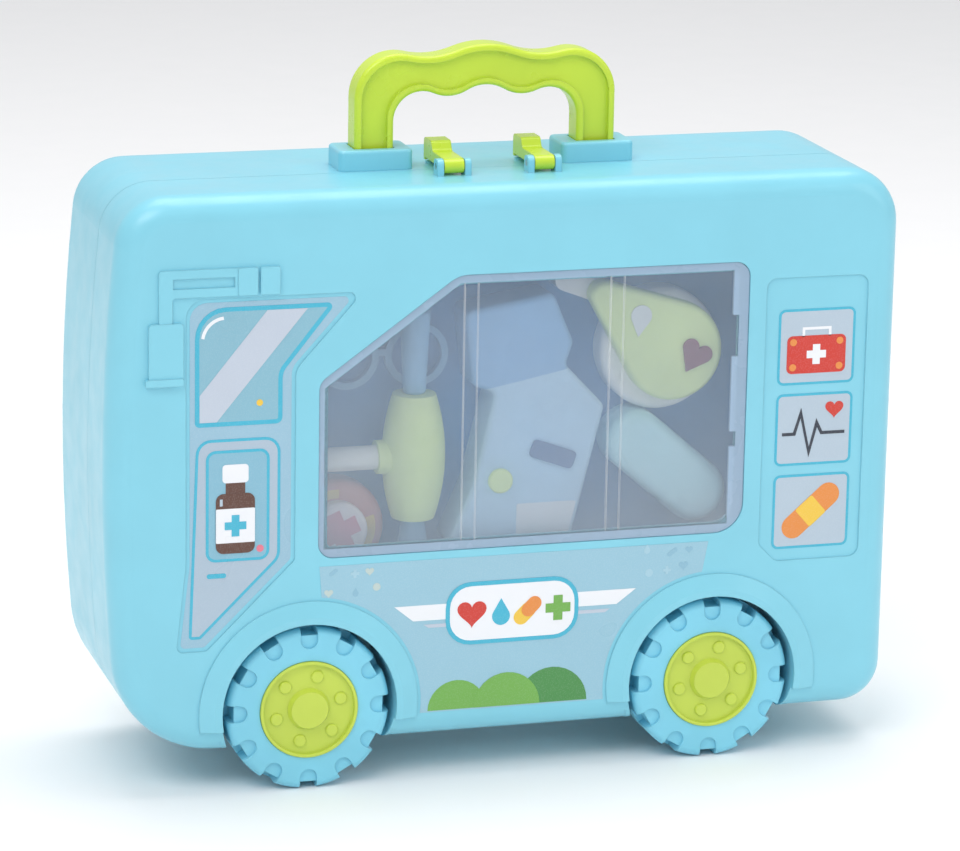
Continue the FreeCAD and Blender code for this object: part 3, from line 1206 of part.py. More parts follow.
def stadium(sketch, ax, az, bx, bz, first, last):
    """Two round ends of different radius joined by their outer tangents."""
    run, rise = bx - ax, bz - az
    length = root(run * run + rise * rise)
    lean = (first - last) / length
    straight = root(1 - lean * lean)
    ux, uz = run / length, rise / length
    points = []
    start, end = (ax, az, first), (bx, bz, last)
    for (cx, cz, radius), side in ((start, -1), (end, -1), (end, 1), (start, 1)):
        nx = ux * lean - uz * straight * side
        nz = uz * lean + ux * straight * side
        points.append((cx + nx * radius, cz + nz * radius))
    far = (bx + ux * last, bz + uz * last)
    near_end = (ax - ux * first, az - uz * first)
    outline(sketch, [points[0], points[1], far, points[2], points[3], near_end],
            {1: (sized(last), 1), 2: (sized(last), 1), 4: (sized(first), 1), 5: (sized(first), 1)})


def stethoscope():
    toy_disc("stethoscope_disc", S.disc_x, S.disc_z, S.disc_radius, S.tray_seat, S.disc_thick, S.disc_round)
    start = S.tray_seat + S.disc_thick
    cover_x, cover_z = S.disc_x + S.cover_right, S.disc_z + S.cover_up
    tip_x, tip_z = S.disc_x - S.cover_tip_left, S.disc_z + S.cover_tip_up
    cover = new_body("stethoscope_cover")
    sketch = new_sketch(cover, "outline", out=start)
    stadium(sketch, cover_x, cover_z, tip_x, tip_z, S.cover_radius, S.cover_tip_radius)
    pad = feature(cover, "Pad", sketch, Length=S.cover_thick)
    top = -(start + S.cover_thick).value
    fillet(cover, pad, edge_names(pad.Shape, lambda edge: lies_at(edge, "y", top)), S.cover_round)
    keep(cover)
    heart = new_body("stethoscope_heart")
    sketch = new_sketch(heart, "outline")
    points = [(S.heart_size * u, S.heart_size * v) for u, v in HEART_SHARES]
    lobe = S.heart_size * HEART_LOBE_SHARE
    outline(sketch, points, {1: (lobe, 1), 2: (lobe, 1), 3: (lobe, 1), 4: (lobe, 1)})
    feature(heart, "Pad", sketch, Length=S.detail_proud)
    tilt_on(heart, cover_x + S.heart_right, start + S.cover_thick, cover_z - S.heart_drop, S.heart_tilt)
    keep(heart)
    stub = new_body("stethoscope_stub")
    sketch = new_sketch(stub, "outline", out=S.tray_seat)
    corner_x, corner_z = on_thermometer(TOP_CORNER_SHARES)
    stadium(sketch, tip_x, tip_z, corner_x + S.stub_clear, corner_z + S.stub_rise,
            S.stub_radius, S.stub_radius)
    feature(stub, "Pad", sketch, Length=S.disc_thick)
    keep(stub)


def pill_case():
    body = new_body("pill_case")
    sketch = new_sketch(body, "outline", out=S.tray_seat)
    x = on_thermometer(RIGHT_CORNER_SHARES)[0] + S.pill_clear + S.pill_radius
    stadium(sketch, x, S.pill_z, x + S.pill_run, S.pill_z - S.pill_drop, S.pill_radius, S.pill_radius)
    pad = feature(body, "Pad", sketch, Length=S.pill_thick)
    top = -(S.tray_seat + S.pill_thick).value
    fillet(body, pad, edge_names(pad.Shape, lambda edge: lies_at(edge, "y", top)), S.pill_round)
    return keep(body)


def toy_glasses():
    body = new_body("toy_glasses")
    frame = new_sketch(body, "frame", out=S.tray_seat)
    right_x = on_thermometer(LEFT_CORNER_SHARES)[0] - S.glasses_clear - S.glasses_radius
    left_x = right_x - S.glasses_span
    for x in (left_x, right_x):
        circle(frame, x, S.glasses_z, S.glasses_radius)
        circle(frame, x, S.glasses_z, S.glasses_radius - S.glasses_bar)
    feature(body, "Pad", frame, Length=S.glasses_thick)
    bridge = new_sketch(body, "bridge", out=S.tray_seat)
    rectangle(bridge, left_x + S.glasses_radius - S.glasses_bar, S.glasses_z,
              right_x - S.glasses_radius + S.glasses_bar, S.glasses_z + S.glasses_bar)
    feature(body, "Pad", bridge, Length=S.glasses_thick)
    return keep(body)


def export():
    """Check every piece and write its STEP file."""
    doc.recompute()
    os.makedirs("parts", exist_ok=True)
    for item in doc.Objects:
        if "Invalid" in item.State or "Error" in item.State:
            raise RuntimeError("%s did not build: %s" % (item.Name, item.State))
    for piece in pieces:
        if not piece.Shape.isValid():
            raise RuntimeError("%s is not a valid solid" % piece.Label)
        piece.Shape.exportStep("parts/%s.step" % piece.Label)


front_shell()
rear_shell()
window_panel()
toy_tray()
tray_screws()
for end, x in (("left", wheel_left_x), ("right", wheel_right_x)):
    for half, side in (("front", 1), ("rear", -1)):
        tyre("tyre_%s_%s" % (half, end), x, side)
        hub_cap("hub_cap_%s_%s" % (half, end), x, side)
        axle_pin("axle_pin_%s_%s" % (half, end), x, side)
hinge_pin()
pull_handle()
for end, sign in (("left", -1), ("right", 1)):
    handle_stop("handle_stop_" + end, sign * leg_x)
    handle_guide("handle_guide_" + end, sign * leg_x)
    latch("latch_" + end, sign * S.latch_x)
    latch_pin("latch_pin_" + end, sign * S.latch_x)
hammer()
thermometer()
stethoscope()
pill_case()
toy_disc("medicine_box", S.medicine_x, S.medicine_z, S.medicine_box_radius, S.tray_seat,
         S.medicine_box_thick, S.medicine_box_round)
toy_disc("medicine_disc", S.medicine_x, S.medicine_z, S.medicine_radius, S.tray_seat + S.medicine_box_thick,
         S.medicine_thick, S.medicine_round)
toy_glasses()
export()
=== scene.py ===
import json
import math
import random

import bmesh
import bpy
from mathutils import Color, Matrix, Vector


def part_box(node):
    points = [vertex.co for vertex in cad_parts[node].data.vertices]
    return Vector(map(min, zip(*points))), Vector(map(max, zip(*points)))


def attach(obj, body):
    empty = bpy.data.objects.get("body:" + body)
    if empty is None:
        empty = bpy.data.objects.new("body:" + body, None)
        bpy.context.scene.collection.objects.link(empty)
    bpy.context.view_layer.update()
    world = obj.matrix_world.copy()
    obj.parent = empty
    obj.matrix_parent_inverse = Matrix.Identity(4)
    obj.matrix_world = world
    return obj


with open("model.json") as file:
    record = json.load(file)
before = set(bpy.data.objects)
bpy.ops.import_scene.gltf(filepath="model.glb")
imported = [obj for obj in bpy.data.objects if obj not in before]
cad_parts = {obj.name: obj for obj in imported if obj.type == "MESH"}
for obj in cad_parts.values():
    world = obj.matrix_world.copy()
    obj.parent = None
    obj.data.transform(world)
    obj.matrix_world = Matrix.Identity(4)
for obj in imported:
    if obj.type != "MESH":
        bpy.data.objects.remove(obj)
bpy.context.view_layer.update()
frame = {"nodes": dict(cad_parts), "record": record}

MM = 0.001


# Places taken from the frame, in millimetres.

def corners_of(node):
    """Lowest and highest corner of a piece."""
    low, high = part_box(node)
    return Vector(low) / MM, Vector(high) / MM


def middle(node):
    """Middle of a piece in X and Z."""
    low, high = corners_of(node)
    return (low.x + high.x) / 2, (low.z + high.z) / 2


def front_of(node):
    """Distance of a piece's front from the middle of the case."""
    return -corners_of(node)[0].y


# Ends of the case to the millimetre, print faces as distances from its middle, and one print layer.
ARCH_PROUD = 3
PANEL_SINK = 0.8
LAYER = 0.14
nose, tail = (round(corner.x) for corner in corners_of("front_shell"))
face = front_of("front_shell") - ARCH_PROUD
sunk_face = face - PANEL_SINK

# Screen colours, eight bits a channel.
FULL = 255
INK = {
    "sticker": (150, 189, 209),
    "door_leaf": (169, 188, 204),
    "pale": (178, 195, 209),
    "teal": (62, 178, 206),
    "pane": (132, 182, 200),
    "sky": (130, 182, 203),
    "glare": (190, 200, 214),
    "white": (236, 238, 242),
    "red": (205, 52, 38),
    "brown": (92, 58, 46),
    "yellow": (238, 196, 66),
    "orange": (228, 140, 62),
    "green": (112, 172, 74),
    "leaf": (70, 140, 70),
    "dark": (44, 52, 66),
    "pink": (226, 120, 140),
    "band": (150, 194, 212),
    "doodle": (164, 202, 217),
    "shade": (138, 184, 205),
    "cream": (188, 204, 200),
}

# Moulded plastics: colour, roughness, coat, edge round in millimetres and mottle.
PLASTICS = {
    "aqua_shell": ((131, 205, 224), 0.34, 0.2, 0.6, 0.02),
    "blue_wheel": ((128, 206, 229), 0.4, 0.05, 0.5, 0.05),
    "lime_plastic": ((196, 221, 56), 0.3, 0.2, 0.7, 0.04),
    "lime_hub": ((196, 214, 78), 0.34, 0.15, 0.5, 0.04),
    "tray_plastic": ((74, 140, 198), 0.55, 0.0, 0.5, 0.08),
    "green_toy": ((234, 250, 172), 0.35, 0.1, 0.6, 0.05),
    "white_toy": ((246, 246, 246), 0.35, 0.1, 0.6, 0.03),
    "grey_toy": ((140, 190, 228), 0.42, 0.05, 0.5, 0.05),
    "blue_toy": ((194, 226, 250), 0.35, 0.1, 0.8, 0.05),
    "dark_display": ((96, 122, 164), 0.2, 0.4, 0.3, 0.05),
    "red_toy": ((140, 46, 44), 0.3, 0.2, 0.4, 0.05),
    "orange_toy": ((212, 138, 122), 0.4, 0.1, 0.5, 0.05),
    "pink_toy": ((244, 232, 236), 0.4, 0.1, 0.5, 0.03),
    "pale_pill": ((204, 246, 255), 0.3, 0.2, 0.8, 0.03),
}

# Noise patterns: features a metre, and octaves.
PATTERNS = {
    "cloud": (22, 3),
    "wear": (160, 4),
    "gloss": (70, 4),
    "grain": (1600, 1),
    "marks": (900, 3),
    "film": (25, 1),
    "skin": (400, 2),
    "haze": (9, 3),
    "panel_gloss": (50, 3),
    "panel_skin": (300, 2),
    "paper": (30, 3),
}

# The part of a noise's range that counts where it makes patches.
PATCH_RANGES = {
    "cloud": (0.35, 0.65),
    "wear": (0.4, 0.7),
    "gloss": (0.3, 0.7),
    "marks": (0.3, 0.7),
    "film": (0.3, 0.7),
    "haze": (0.35, 0.7),
    "panel_gloss": (0.3, 0.7),
}

# Bumps: strength, and depth in millimetres.
BUMPS = {"grain": (0.005, 0.05), "marks": (0.1, 0.05), "skin": (0.05, 0.05), "panel_skin": (0.04, 0.1)}


def linear(colour):
    """Linear colour, with full alpha, of a screen colour."""
    return tuple(Color([part / FULL for part in colour]).from_srgb_to_scene_linear()) + (1.0,)


def shade(colour, share):
    """The linear colour, darker or lighter by a share."""
    return tuple(min(part * share, 1.0) for part in linear(colour)[:3]) + (1.0,)


def paler(colour):
    """The linear colour, halfway to white."""
    return tuple((part + 1) / 2 for part in linear(colour))


class Paint:
    """A material with its main shader and short ways to add nodes."""

    BEVEL_SAMPLES = 4
    EDGE_COSINES = (0.965, 0.8)

    def __init__(self, name):
        self.material = bpy.data.materials.new(name)
        self.material.use_nodes = True
        self.tree = self.material.node_tree
        self.shader = self.tree.nodes["Principled BSDF"]
        self.place = self.add("ShaderNodeTexCoord").outputs["Object"]

    def add(self, kind, **settings):
        node = self.tree.nodes.new(kind)
        for name, value in settings.items():
            setattr(node, name, value)
        return node

    def join(self, source, target):
        self.tree.links.new(source, target)

    def set(self, **inputs):
        """Give shader inputs a socket or a constant; an underscore stands for a space."""
        for name, value in inputs.items():
            self.fill(self.shader.inputs[name.replace("_", " ")], value)

    def fill(self, socket, value):
        if isinstance(value, (int, float, tuple)):
            socket.default_value = value
        else:
            self.join(value, socket)

    def noise(self, pattern):
        scale, octaves = PATTERNS[pattern]
        node = self.add("ShaderNodeTexNoise")
        self.fill(node.inputs["Scale"], scale)
        self.fill(node.inputs["Detail"], octaves)
        self.join(self.place, node.inputs["Vector"])
        return node.outputs["Fac"]

    def spread(self, source, start, end, low=0.0, high=1.0):
        """Map the range start to end onto low to high, clamped."""
        node = self.add("ShaderNodeMapRange")
        for name, value in zip(("From Min", "From Max", "To Min", "To Max"), (start, end, low, high)):
            self.fill(node.inputs[name], value)
        self.join(source, node.inputs["Value"])
        return node.outputs["Result"]

    def patches(self, pattern, low=0.0, high=1.0):
        """Noise whose range that counts is mapped onto low to high."""
        return self.spread(self.noise(pattern), *PATCH_RANGES[pattern], low, high)

    def tint(self, factor, first, second):
        """Mix two colours, given as linear colours or as sockets."""
        node = self.add("ShaderNodeMix", data_type="RGBA")
        colour_sockets = [socket for socket in node.inputs if socket.type == "RGBA"]
        self.join(factor, node.inputs[0])
        self.fill(colour_sockets[0], first)
        self.fill(colour_sockets[1], second)
        return next(socket for socket in node.outputs if socket.type == "RGBA")

    def maths(self, operation, first, second=0.0):
        node = self.add("ShaderNodeMath", operation=operation)
        self.fill(node.inputs[0], first)
        self.fill(node.inputs[1], second)
        return node.outputs[0]

    def axis(self, name):
        """One coordinate of the place, in metres."""
        node = self.add("ShaderNodeSeparateXYZ")
        self.join(self.place, node.inputs[0])
        return node.outputs[name]

    def edges(self, radius):
        """Rounded normal, and a mask that is high along edges."""
        bevel = self.add("ShaderNodeBevel", samples=self.BEVEL_SAMPLES)
        bevel.inputs["Radius"].default_value = radius * MM
        flat = self.add("ShaderNodeNewGeometry").outputs["Normal"]
        dot = self.add("ShaderNodeVectorMath", operation="DOT_PRODUCT")
        self.join(bevel.outputs["Normal"], dot.inputs[0])
        self.join(flat, dot.inputs[1])
        return bevel.outputs["Normal"], self.spread(dot.outputs["Value"], *self.EDGE_COSINES)

    def bump(self, pattern, normal=None):
        strength, depth = BUMPS[pattern]
        node = self.add("ShaderNodeBump")
        node.inputs["Strength"].default_value = strength
        node.inputs["Distance"].default_value = depth * MM
        self.join(self.noise(pattern), node.inputs["Height"])
        if normal is not None:
            self.join(normal, node.inputs["Normal"])
        self.set(Normal=node.outputs["Normal"])


# Materials.

WEAR_RANGE = (0.03, 0.2)
GLOSSIER = 0.06
DULLER = 0.08
COAT_ROUGHNESS = 0.12


def plastic(name):
    """Moulded plastic: faint clouding, a fine spark grain, gloss that varies and paler edges."""
    colour, rough, coat, edge_round, mottle = PLASTICS[name]
    paint = Paint(name)
    body = paint.tint(paint.patches("cloud"), shade(colour, 1 - mottle), shade(colour, 1 + mottle))
    normal, edge = paint.edges(edge_round)
    worn = paint.maths("MULTIPLY", edge, paint.patches("wear", *WEAR_RANGE))
    paint.body = paint.tint(worn, body, paler(colour))
    paint.set(Base_Color=paint.body, Roughness=paint.patches("gloss", rough - GLOSSIER, rough + DULLER),
              Coat_Weight=coat, Coat_Roughness=COAT_ROUGHNESS)
    paint.bump("grain", normal)
    return paint


STEEL_DARK = (0.42, 0.43, 0.45, 1.0)
STEEL_PALE = (0.62, 0.63, 0.65, 1.0)
STEEL_ROUGHNESS = (0.22, 0.4)


def steel(name):
    """Turned steel with fine drawing marks."""
    paint = Paint(name)
    paint.set(Base_Color=paint.tint(paint.noise("marks"), STEEL_DARK, STEEL_PALE),
              Roughness=paint.patches("marks", *STEEL_ROUGHNESS), Metallic=1.0)
    paint.bump("marks")
    return paint


FILM_SHARE = 0.015
INK_ROUGHNESS = (0.26, 0.38)
INK_COAT = 0.2
DOTS_A_METRE = 1500
DOT_SPREAD = (0.1, 0.5, 0.06, 0.0)
WHITE = (1.0, 1.0, 1.0, 1.0)


def ink(name):
    """Printed vinyl: uneven ink film, fine print dots and a soft gloss."""
    paint = Paint("ink_" + name)
    film = paint.patches("film")
    body = paint.tint(film, shade(INK[name], 1 - FILM_SHARE), shade(INK[name], 1 + FILM_SHARE))
    dots = paint.add("ShaderNodeTexVoronoi")
    dots.inputs["Scale"].default_value = DOTS_A_METRE
    paint.join(paint.place, dots.inputs["Vector"])
    speck = paint.spread(dots.outputs["Distance"], *DOT_SPREAD)
    paint.set(Base_Color=paint.tint(speck, body, WHITE), Coat_Weight=INK_COAT,
              Roughness=paint.patches("film", *INK_ROUGHNESS))
    paint.bump("skin")
    return paint


# Window panel, in millimetres from the lower left corner of its box; borders in the order of its edges.
SLANT_RUN = 64.5
SLANT_DROP = 46.5
BORDERS = {"low": 4.2, "right": 4.7, "top": 3.7, "slant": 3.7, "left": 2.6}
BORDER_SOFT = 0.2
WIDE_BORDER = 7.6
WIDE_STRETCHES = ((-0.8, 41.2), (48.2, 84.2), (103.7, 130.2))
FLUTES = (70.8, 140.3)
FLUTE_WIDTH = 6.5
# Painted highlight along each flute edge: where it begins and where it is full, in millimetres from the
# edge.
FLUTE_HIGHLIGHT_LINE = (0.35, 0.15)

# Colours of the haze, the border and the painted highlights along the flute edges, and how far each
# covers what lies behind.
# The dark veil and rim colours go towards the top of the panel as painted shade, and into the darker
# frost patches.
VEIL_DARK = (150, 172, 194)
VEIL_PALE = (188, 200, 210)
RIM_DARK = (168, 196, 222)
RIM_PALE = (182, 205, 228)
PAINTED_FLUTE_HIGHLIGHT = (226, 232, 238)
PATCH_SHARE = 0.45
HAZE_ALPHA = (0.2, 0.4)
BORDER_ALPHA = 0.7
FLUTE_HIGHLIGHT_ALPHA = 0.5
PANEL_ROUGHNESS = (0.2, 0.34)
PANEL_COAT = 0.3
PANEL_ROUND = 0.4


def inside_edges(paint, low, high):
    """Distance inside the border of the window panel, negative on the border."""
    points = [(low.x, low.z), (high.x, low.z), (high.x, high.z), (low.x + SLANT_RUN, high.z),
              (low.x, high.z - SLANT_DROP)]
    depth = None
    for index, width in enumerate(BORDERS.values()):
        here = Vector(points[index]) * MM
        run = (Vector(points[(index + 1) % len(points)]) * MM - here).normalized()
        dot = paint.add("ShaderNodeVectorMath", operation="DOT_PRODUCT")
        paint.join(paint.place, dot.inputs[0])
        dot.inputs[1].default_value = (-run.y, 0, run.x)
        offset = run.y * here.x - run.x * here.y - width * MM
        inside = paint.maths("ADD", dot.outputs["Value"], offset)
        depth = inside if depth is None else paint.maths("MINIMUM", depth, inside)
    return depth


def frosted(name):
    """Milky clear panel: a pale border with wider stretches at the tail end, painted highlight lines
    along the flute edges, and a thin uneven haze painted darker towards the top as shade.
    """
    low, high = corners_of("window_panel")
    paint = Paint(name)
    x, z = paint.axis("X"), paint.axis("Z")
    reach = paint.maths("SUBTRACT", 0.0, inside_edges(paint, low, high))
    past = paint.maths("SUBTRACT", x, (high.x - WIDE_BORDER) * MM)
    for start, end in WIDE_STRETCHES:
        along = paint.maths("MINIMUM", paint.maths("SUBTRACT", z, (low.z + start) * MM),
                            paint.maths("SUBTRACT", (low.z + end) * MM, z))
        reach = paint.maths("MAXIMUM", reach, paint.maths("MINIMUM", along, past))
    border = paint.spread(reach, -BORDER_SOFT * MM, BORDER_SOFT * MM)
    # Painted highlight: a thin bright line along both edges of each flute.
    flute_highlight = 0.0
    for flute in FLUTES:
        from_middle = paint.maths("ABSOLUTE", paint.maths("SUBTRACT", x, (low.x + flute) * MM))
        from_edge = paint.maths("ABSOLUTE", paint.maths("SUBTRACT", from_middle, FLUTE_WIDTH / 2 * MM))
        flute_highlight = paint.maths("ADD", flute_highlight, paint.spread(from_edge, *(width * MM for width in FLUTE_HIGHLIGHT_LINE)))
    # Painted shade: the veil is darker and clearer towards the top, and paler and thicker towards the
    # bottom; the haze mixes this with random frost patches.
    lower = paint.spread(z, high.z * MM, low.z * MM)
    haze = paint.maths("ADD", paint.maths("MULTIPLY", paint.patches("haze"), PATCH_SHARE),
                       paint.maths("MULTIPLY", lower, 1 - PATCH_SHARE))
    veil = paint.tint(flute_highlight, paint.tint(haze, linear(VEIL_DARK), linear(VEIL_PALE)), linear(PAINTED_FLUTE_HIGHLIGHT))
    rim = paint.tint(haze, linear(RIM_DARK), linear(RIM_PALE))
    # The border and the painted flute highlights cover more of what lies behind.
    marks = paint.maths("MAXIMUM", paint.maths("MULTIPLY", border, BORDER_ALPHA),
                        paint.maths("MULTIPLY", flute_highlight, FLUTE_HIGHLIGHT_ALPHA))
    alpha = paint.maths("MAXIMUM", paint.spread(haze, 0.0, 1.0, *HAZE_ALPHA), marks)
    paint.set(Base_Color=paint.tint(border, veil, rim), Alpha=alpha, Coat_Weight=PANEL_COAT,
              Roughness=paint.patches("panel_gloss", *PANEL_ROUGHNESS))
    paint.bump("panel_skin", paint.edges(PANEL_ROUND)[0])
    return paint


# Line between body and head of the thermometer: its height above the foot where X is zero, and its slope.
HEAD_UP = 77
HEAD_SLOPE = 0.2
HEAD_SOFT = 0.2
HEAD_COLOUR = (146, 192, 234)


def two_tone(paint):
    """Give the thermometer's plastic another colour above a slanted line."""
    height = corners_of("thermometer_body")[0].z + HEAD_UP
    line = paint.maths("SUBTRACT", paint.axis("Z"), paint.maths("MULTIPLY", paint.axis("X"), HEAD_SLOPE))
    above = paint.spread(line, (height - HEAD_SOFT) * MM, (height + HEAD_SOFT) * MM)
    paint.set(Base_Color=paint.tint(above, paint.body, linear(HEAD_COLOUR)))


def material_name(part):
    """Name of a piece's material: its slot, but for the hub caps and the pill case."""
    if part["node"].startswith("hub_cap"):
        return "lime_hub"
    return "pale_pill" if part["node"] == "pill_case" else part["material_slot"]


PAINTS = {name: plastic(name) for name in PLASTICS}
PAINTS["steel"] = steel("steel")
PAINTS["clear_plastic"] = frosted("clear_plastic")
two_tone(PAINTS["blue_toy"])
INKS = {name: ink(name) for name in INK}

for part in frame["record"]["subparts"]:
    node = frame["nodes"][part["node"]]
    node.data.materials.clear()
    node.data.materials.append(PAINTS[material_name(part)].material)


# Flat outlines in X and Z, in millimetres, counter-clockwise.

HALF_TURN = 180
ARC_STEPS = 12
ROUND_STEPS = 6
DISC_STEPS = 28
HEART_STEPS = 36
DROP_ARC = (150, 390, 16)
LEAST_INSET_COSINE = 0.4
LEAST_MITRE_COSINE = 0.3


def turn(x, z, radius, begin, end, count=ARC_STEPS):
    """Points on an arc, angles in degrees."""
    points = []
    for step in range(count + 1):
        angle = math.radians(begin + (end - begin) * step / count)
        points.append((x + radius * math.cos(angle), z + radius * math.sin(angle)))
    return points


def disc(x, z, radius, count=DISC_STEPS):
    return turn(x, z, radius, 0, 2 * HALF_TURN, count)[:-1]


def polygon(*points):
    return list(points)


def rounded(*corners):
    """Outline with a radius at each corner: (x, z, radius)."""
    points = []
    for index, (x, z, radius) in enumerate(corners):
        here = Vector((x, z))
        back = Vector(corners[index - 1][:2]) - here
        ahead = Vector(corners[(index + 1) % len(corners)][:2]) - here
        half = back.angle(ahead) / 2
        reach = radius / math.tan(half)
        first = here + back.normalized() * reach
        last = here + ahead.normalized() * reach
        centre = here + (back.normalized() + ahead.normalized()).normalized() * radius / math.sin(half)
        begin = math.atan2(first.y - centre.y, first.x - centre.x)
        sweep = math.atan2(last.y - centre.y, last.x - centre.x) - begin
        sweep = (sweep + math.pi) % (2 * math.pi) - math.pi
        points.extend(turn(centre.x, centre.y, radius, math.degrees(begin),
                           math.degrees(begin + sweep), ROUND_STEPS))
    return points


def box_corners(left, low, right, top, radius):
    return [(left, low, radius), (right, low, radius), (right, top, radius), (left, top, radius)]


def block(*sizes):
    return rounded(*box_corners(*sizes))


def inset(corners, distance):
    """A rounded outline moved inwards."""
    loop = rounded(*corners)
    points = []
    for index, point in enumerate(loop):
        here = Vector(point)
        back = (here - Vector(loop[index - 1])).normalized()
        ahead = (Vector(loop[(index + 1) % len(loop)]) - here).normalized()
        side = Vector((-back.y - ahead.y, back.x + ahead.x)).normalized()
        lean = max(side.dot(Vector((-ahead.y, ahead.x))), LEAST_INSET_COSINE)
        points.append(tuple(here + side * distance / lean))
    return points


def stroke(path, width):
    """Band of a given width along an open path, with mitred corners."""
    sides = ([], [])
    for index, point in enumerate(path):
        here = Vector(point)
        back = here - Vector(path[index - 1]) if index else Vector(path[1]) - here
        ahead = Vector(path[index + 1]) - here if index + 1 < len(path) else back
        across = Vector((-ahead.y, ahead.x)).normalized()
        mitre = (across + Vector((-back.y, back.x)).normalized()).normalized()
        reach = mitre * width / 2 / max(mitre.dot(across), LEAST_MITRE_COSINE)
        sides[0].append(tuple(here - reach))
        sides[1].append(tuple(here + reach))
    return sides[0] + sides[1][::-1]


def bow(width, *arc):
    """Stroke along an arc."""
    return stroke(turn(*arc), width)


def cross(x, z, size, arm):
    half, bar = size / 2, arm / 2
    one_side = [(bar, -half), (bar, -bar), (half, -bar), (half, bar), (bar, bar), (bar, half)]
    other_side = [(-across, -up) for across, up in one_side]
    return [(x + across, z + up) for across, up in one_side + other_side]


def heart(x, z, size):
    """The heart curve, whose formula is 32 wide."""
    points = []
    for step in range(HEART_STEPS):
        angle = 2 * math.pi * step / HEART_STEPS
        across = 16 * math.sin(angle) ** 3
        up = (13 * math.cos(angle) - 5 * math.cos(2 * angle) - 2 * math.cos(3 * angle)
              - math.cos(4 * angle))
        points.append((x - across * size / 32, z + up * size / 32))
    return points


def capsule(start_x, start_z, end_x, end_z, radius):
    lean = math.degrees(math.atan2(end_z - start_z, end_x - start_x))
    right = lean - HALF_TURN / 2
    left = lean + HALF_TURN / 2
    far_end = turn(end_x, end_z, radius, right, left)
    return far_end + turn(start_x, start_z, radius, left, right + 2 * HALF_TURN)


def drop(x, z, size):
    return turn(x, z, size / 2, *DROP_ARC) + [(x, z + size)]


def ring_part(x, z, outer, inner, begin, end):
    return turn(x, z, outer, begin, end) + turn(x, z, inner, end, begin)


def turned(loop, x, z, angle):
    """The outline turned about a point, angle in degrees."""
    cosine, sine = math.cos(math.radians(angle)), math.sin(math.radians(angle))
    points = []
    for point_x, point_z in loop:
        across, up = point_x - x, point_z - z
        points.append((x + across * cosine - up * sine, z + across * sine + up * cosine))
    return points


# Prints.

WELD_REACH = 1e-6


def weld(mesh):
    """Join the doubled points of a plate and turn its faces outwards."""
    work = bmesh.new()
    work.from_mesh(mesh)
    bmesh.ops.remove_doubles(work, verts=work.verts, dist=WELD_REACH)
    bmesh.ops.recalc_face_normals(work, faces=work.faces)
    work.to_mesh(mesh)
    work.free()


def plate(name, loops, colour, distance, layer=0):
    """Thin print on a face at a distance from the middle; later layers lie on earlier ones."""
    thick = LAYER * (layer + 1)
    curve = bpy.data.curves.new(name, "CURVE")
    curve.dimensions = "2D"
    curve.fill_mode = "BOTH"
    curve.extrude = thick * MM / 2
    for loop in loops:
        spline = curve.splines.new("POLY")
        spline.points.add(len(loop) - 1)
        spline.use_cyclic_u = True
        for point, (x, z) in zip(spline.points, loop):
            point.co = (x * MM, z * MM, 0, 1)
    holder = bpy.data.objects.new(name + "_curve", curve)
    mesh = bpy.data.meshes.new_from_object(holder)
    bpy.data.objects.remove(holder)
    out = -(distance + thick / 2) * MM
    mesh.transform(Matrix(((1, 0, 0, 0), (0, 0, -1, out), (0, 1, 0, 0), (0, 0, 0, 1))))
    weld(mesh)
    piece = bpy.data.objects.new(name, mesh)
    bpy.context.scene.collection.objects.link(piece)
    mesh.materials.clear()
    mesh.materials.append(INKS[colour].material)
    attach(piece, "front_half")


def draw(tag, rows, x, distance):
    """Lay the rows of a picture on a face: piece, ink, layer, shape, and the sizes of each outline."""
    for name, colour, layer, shape, *outlines in rows:
        loops = [[(x + across, up) for across, up in shape(*sizes)] for sizes in outlines]
        plate(tag + name, loops, colour, distance, layer)


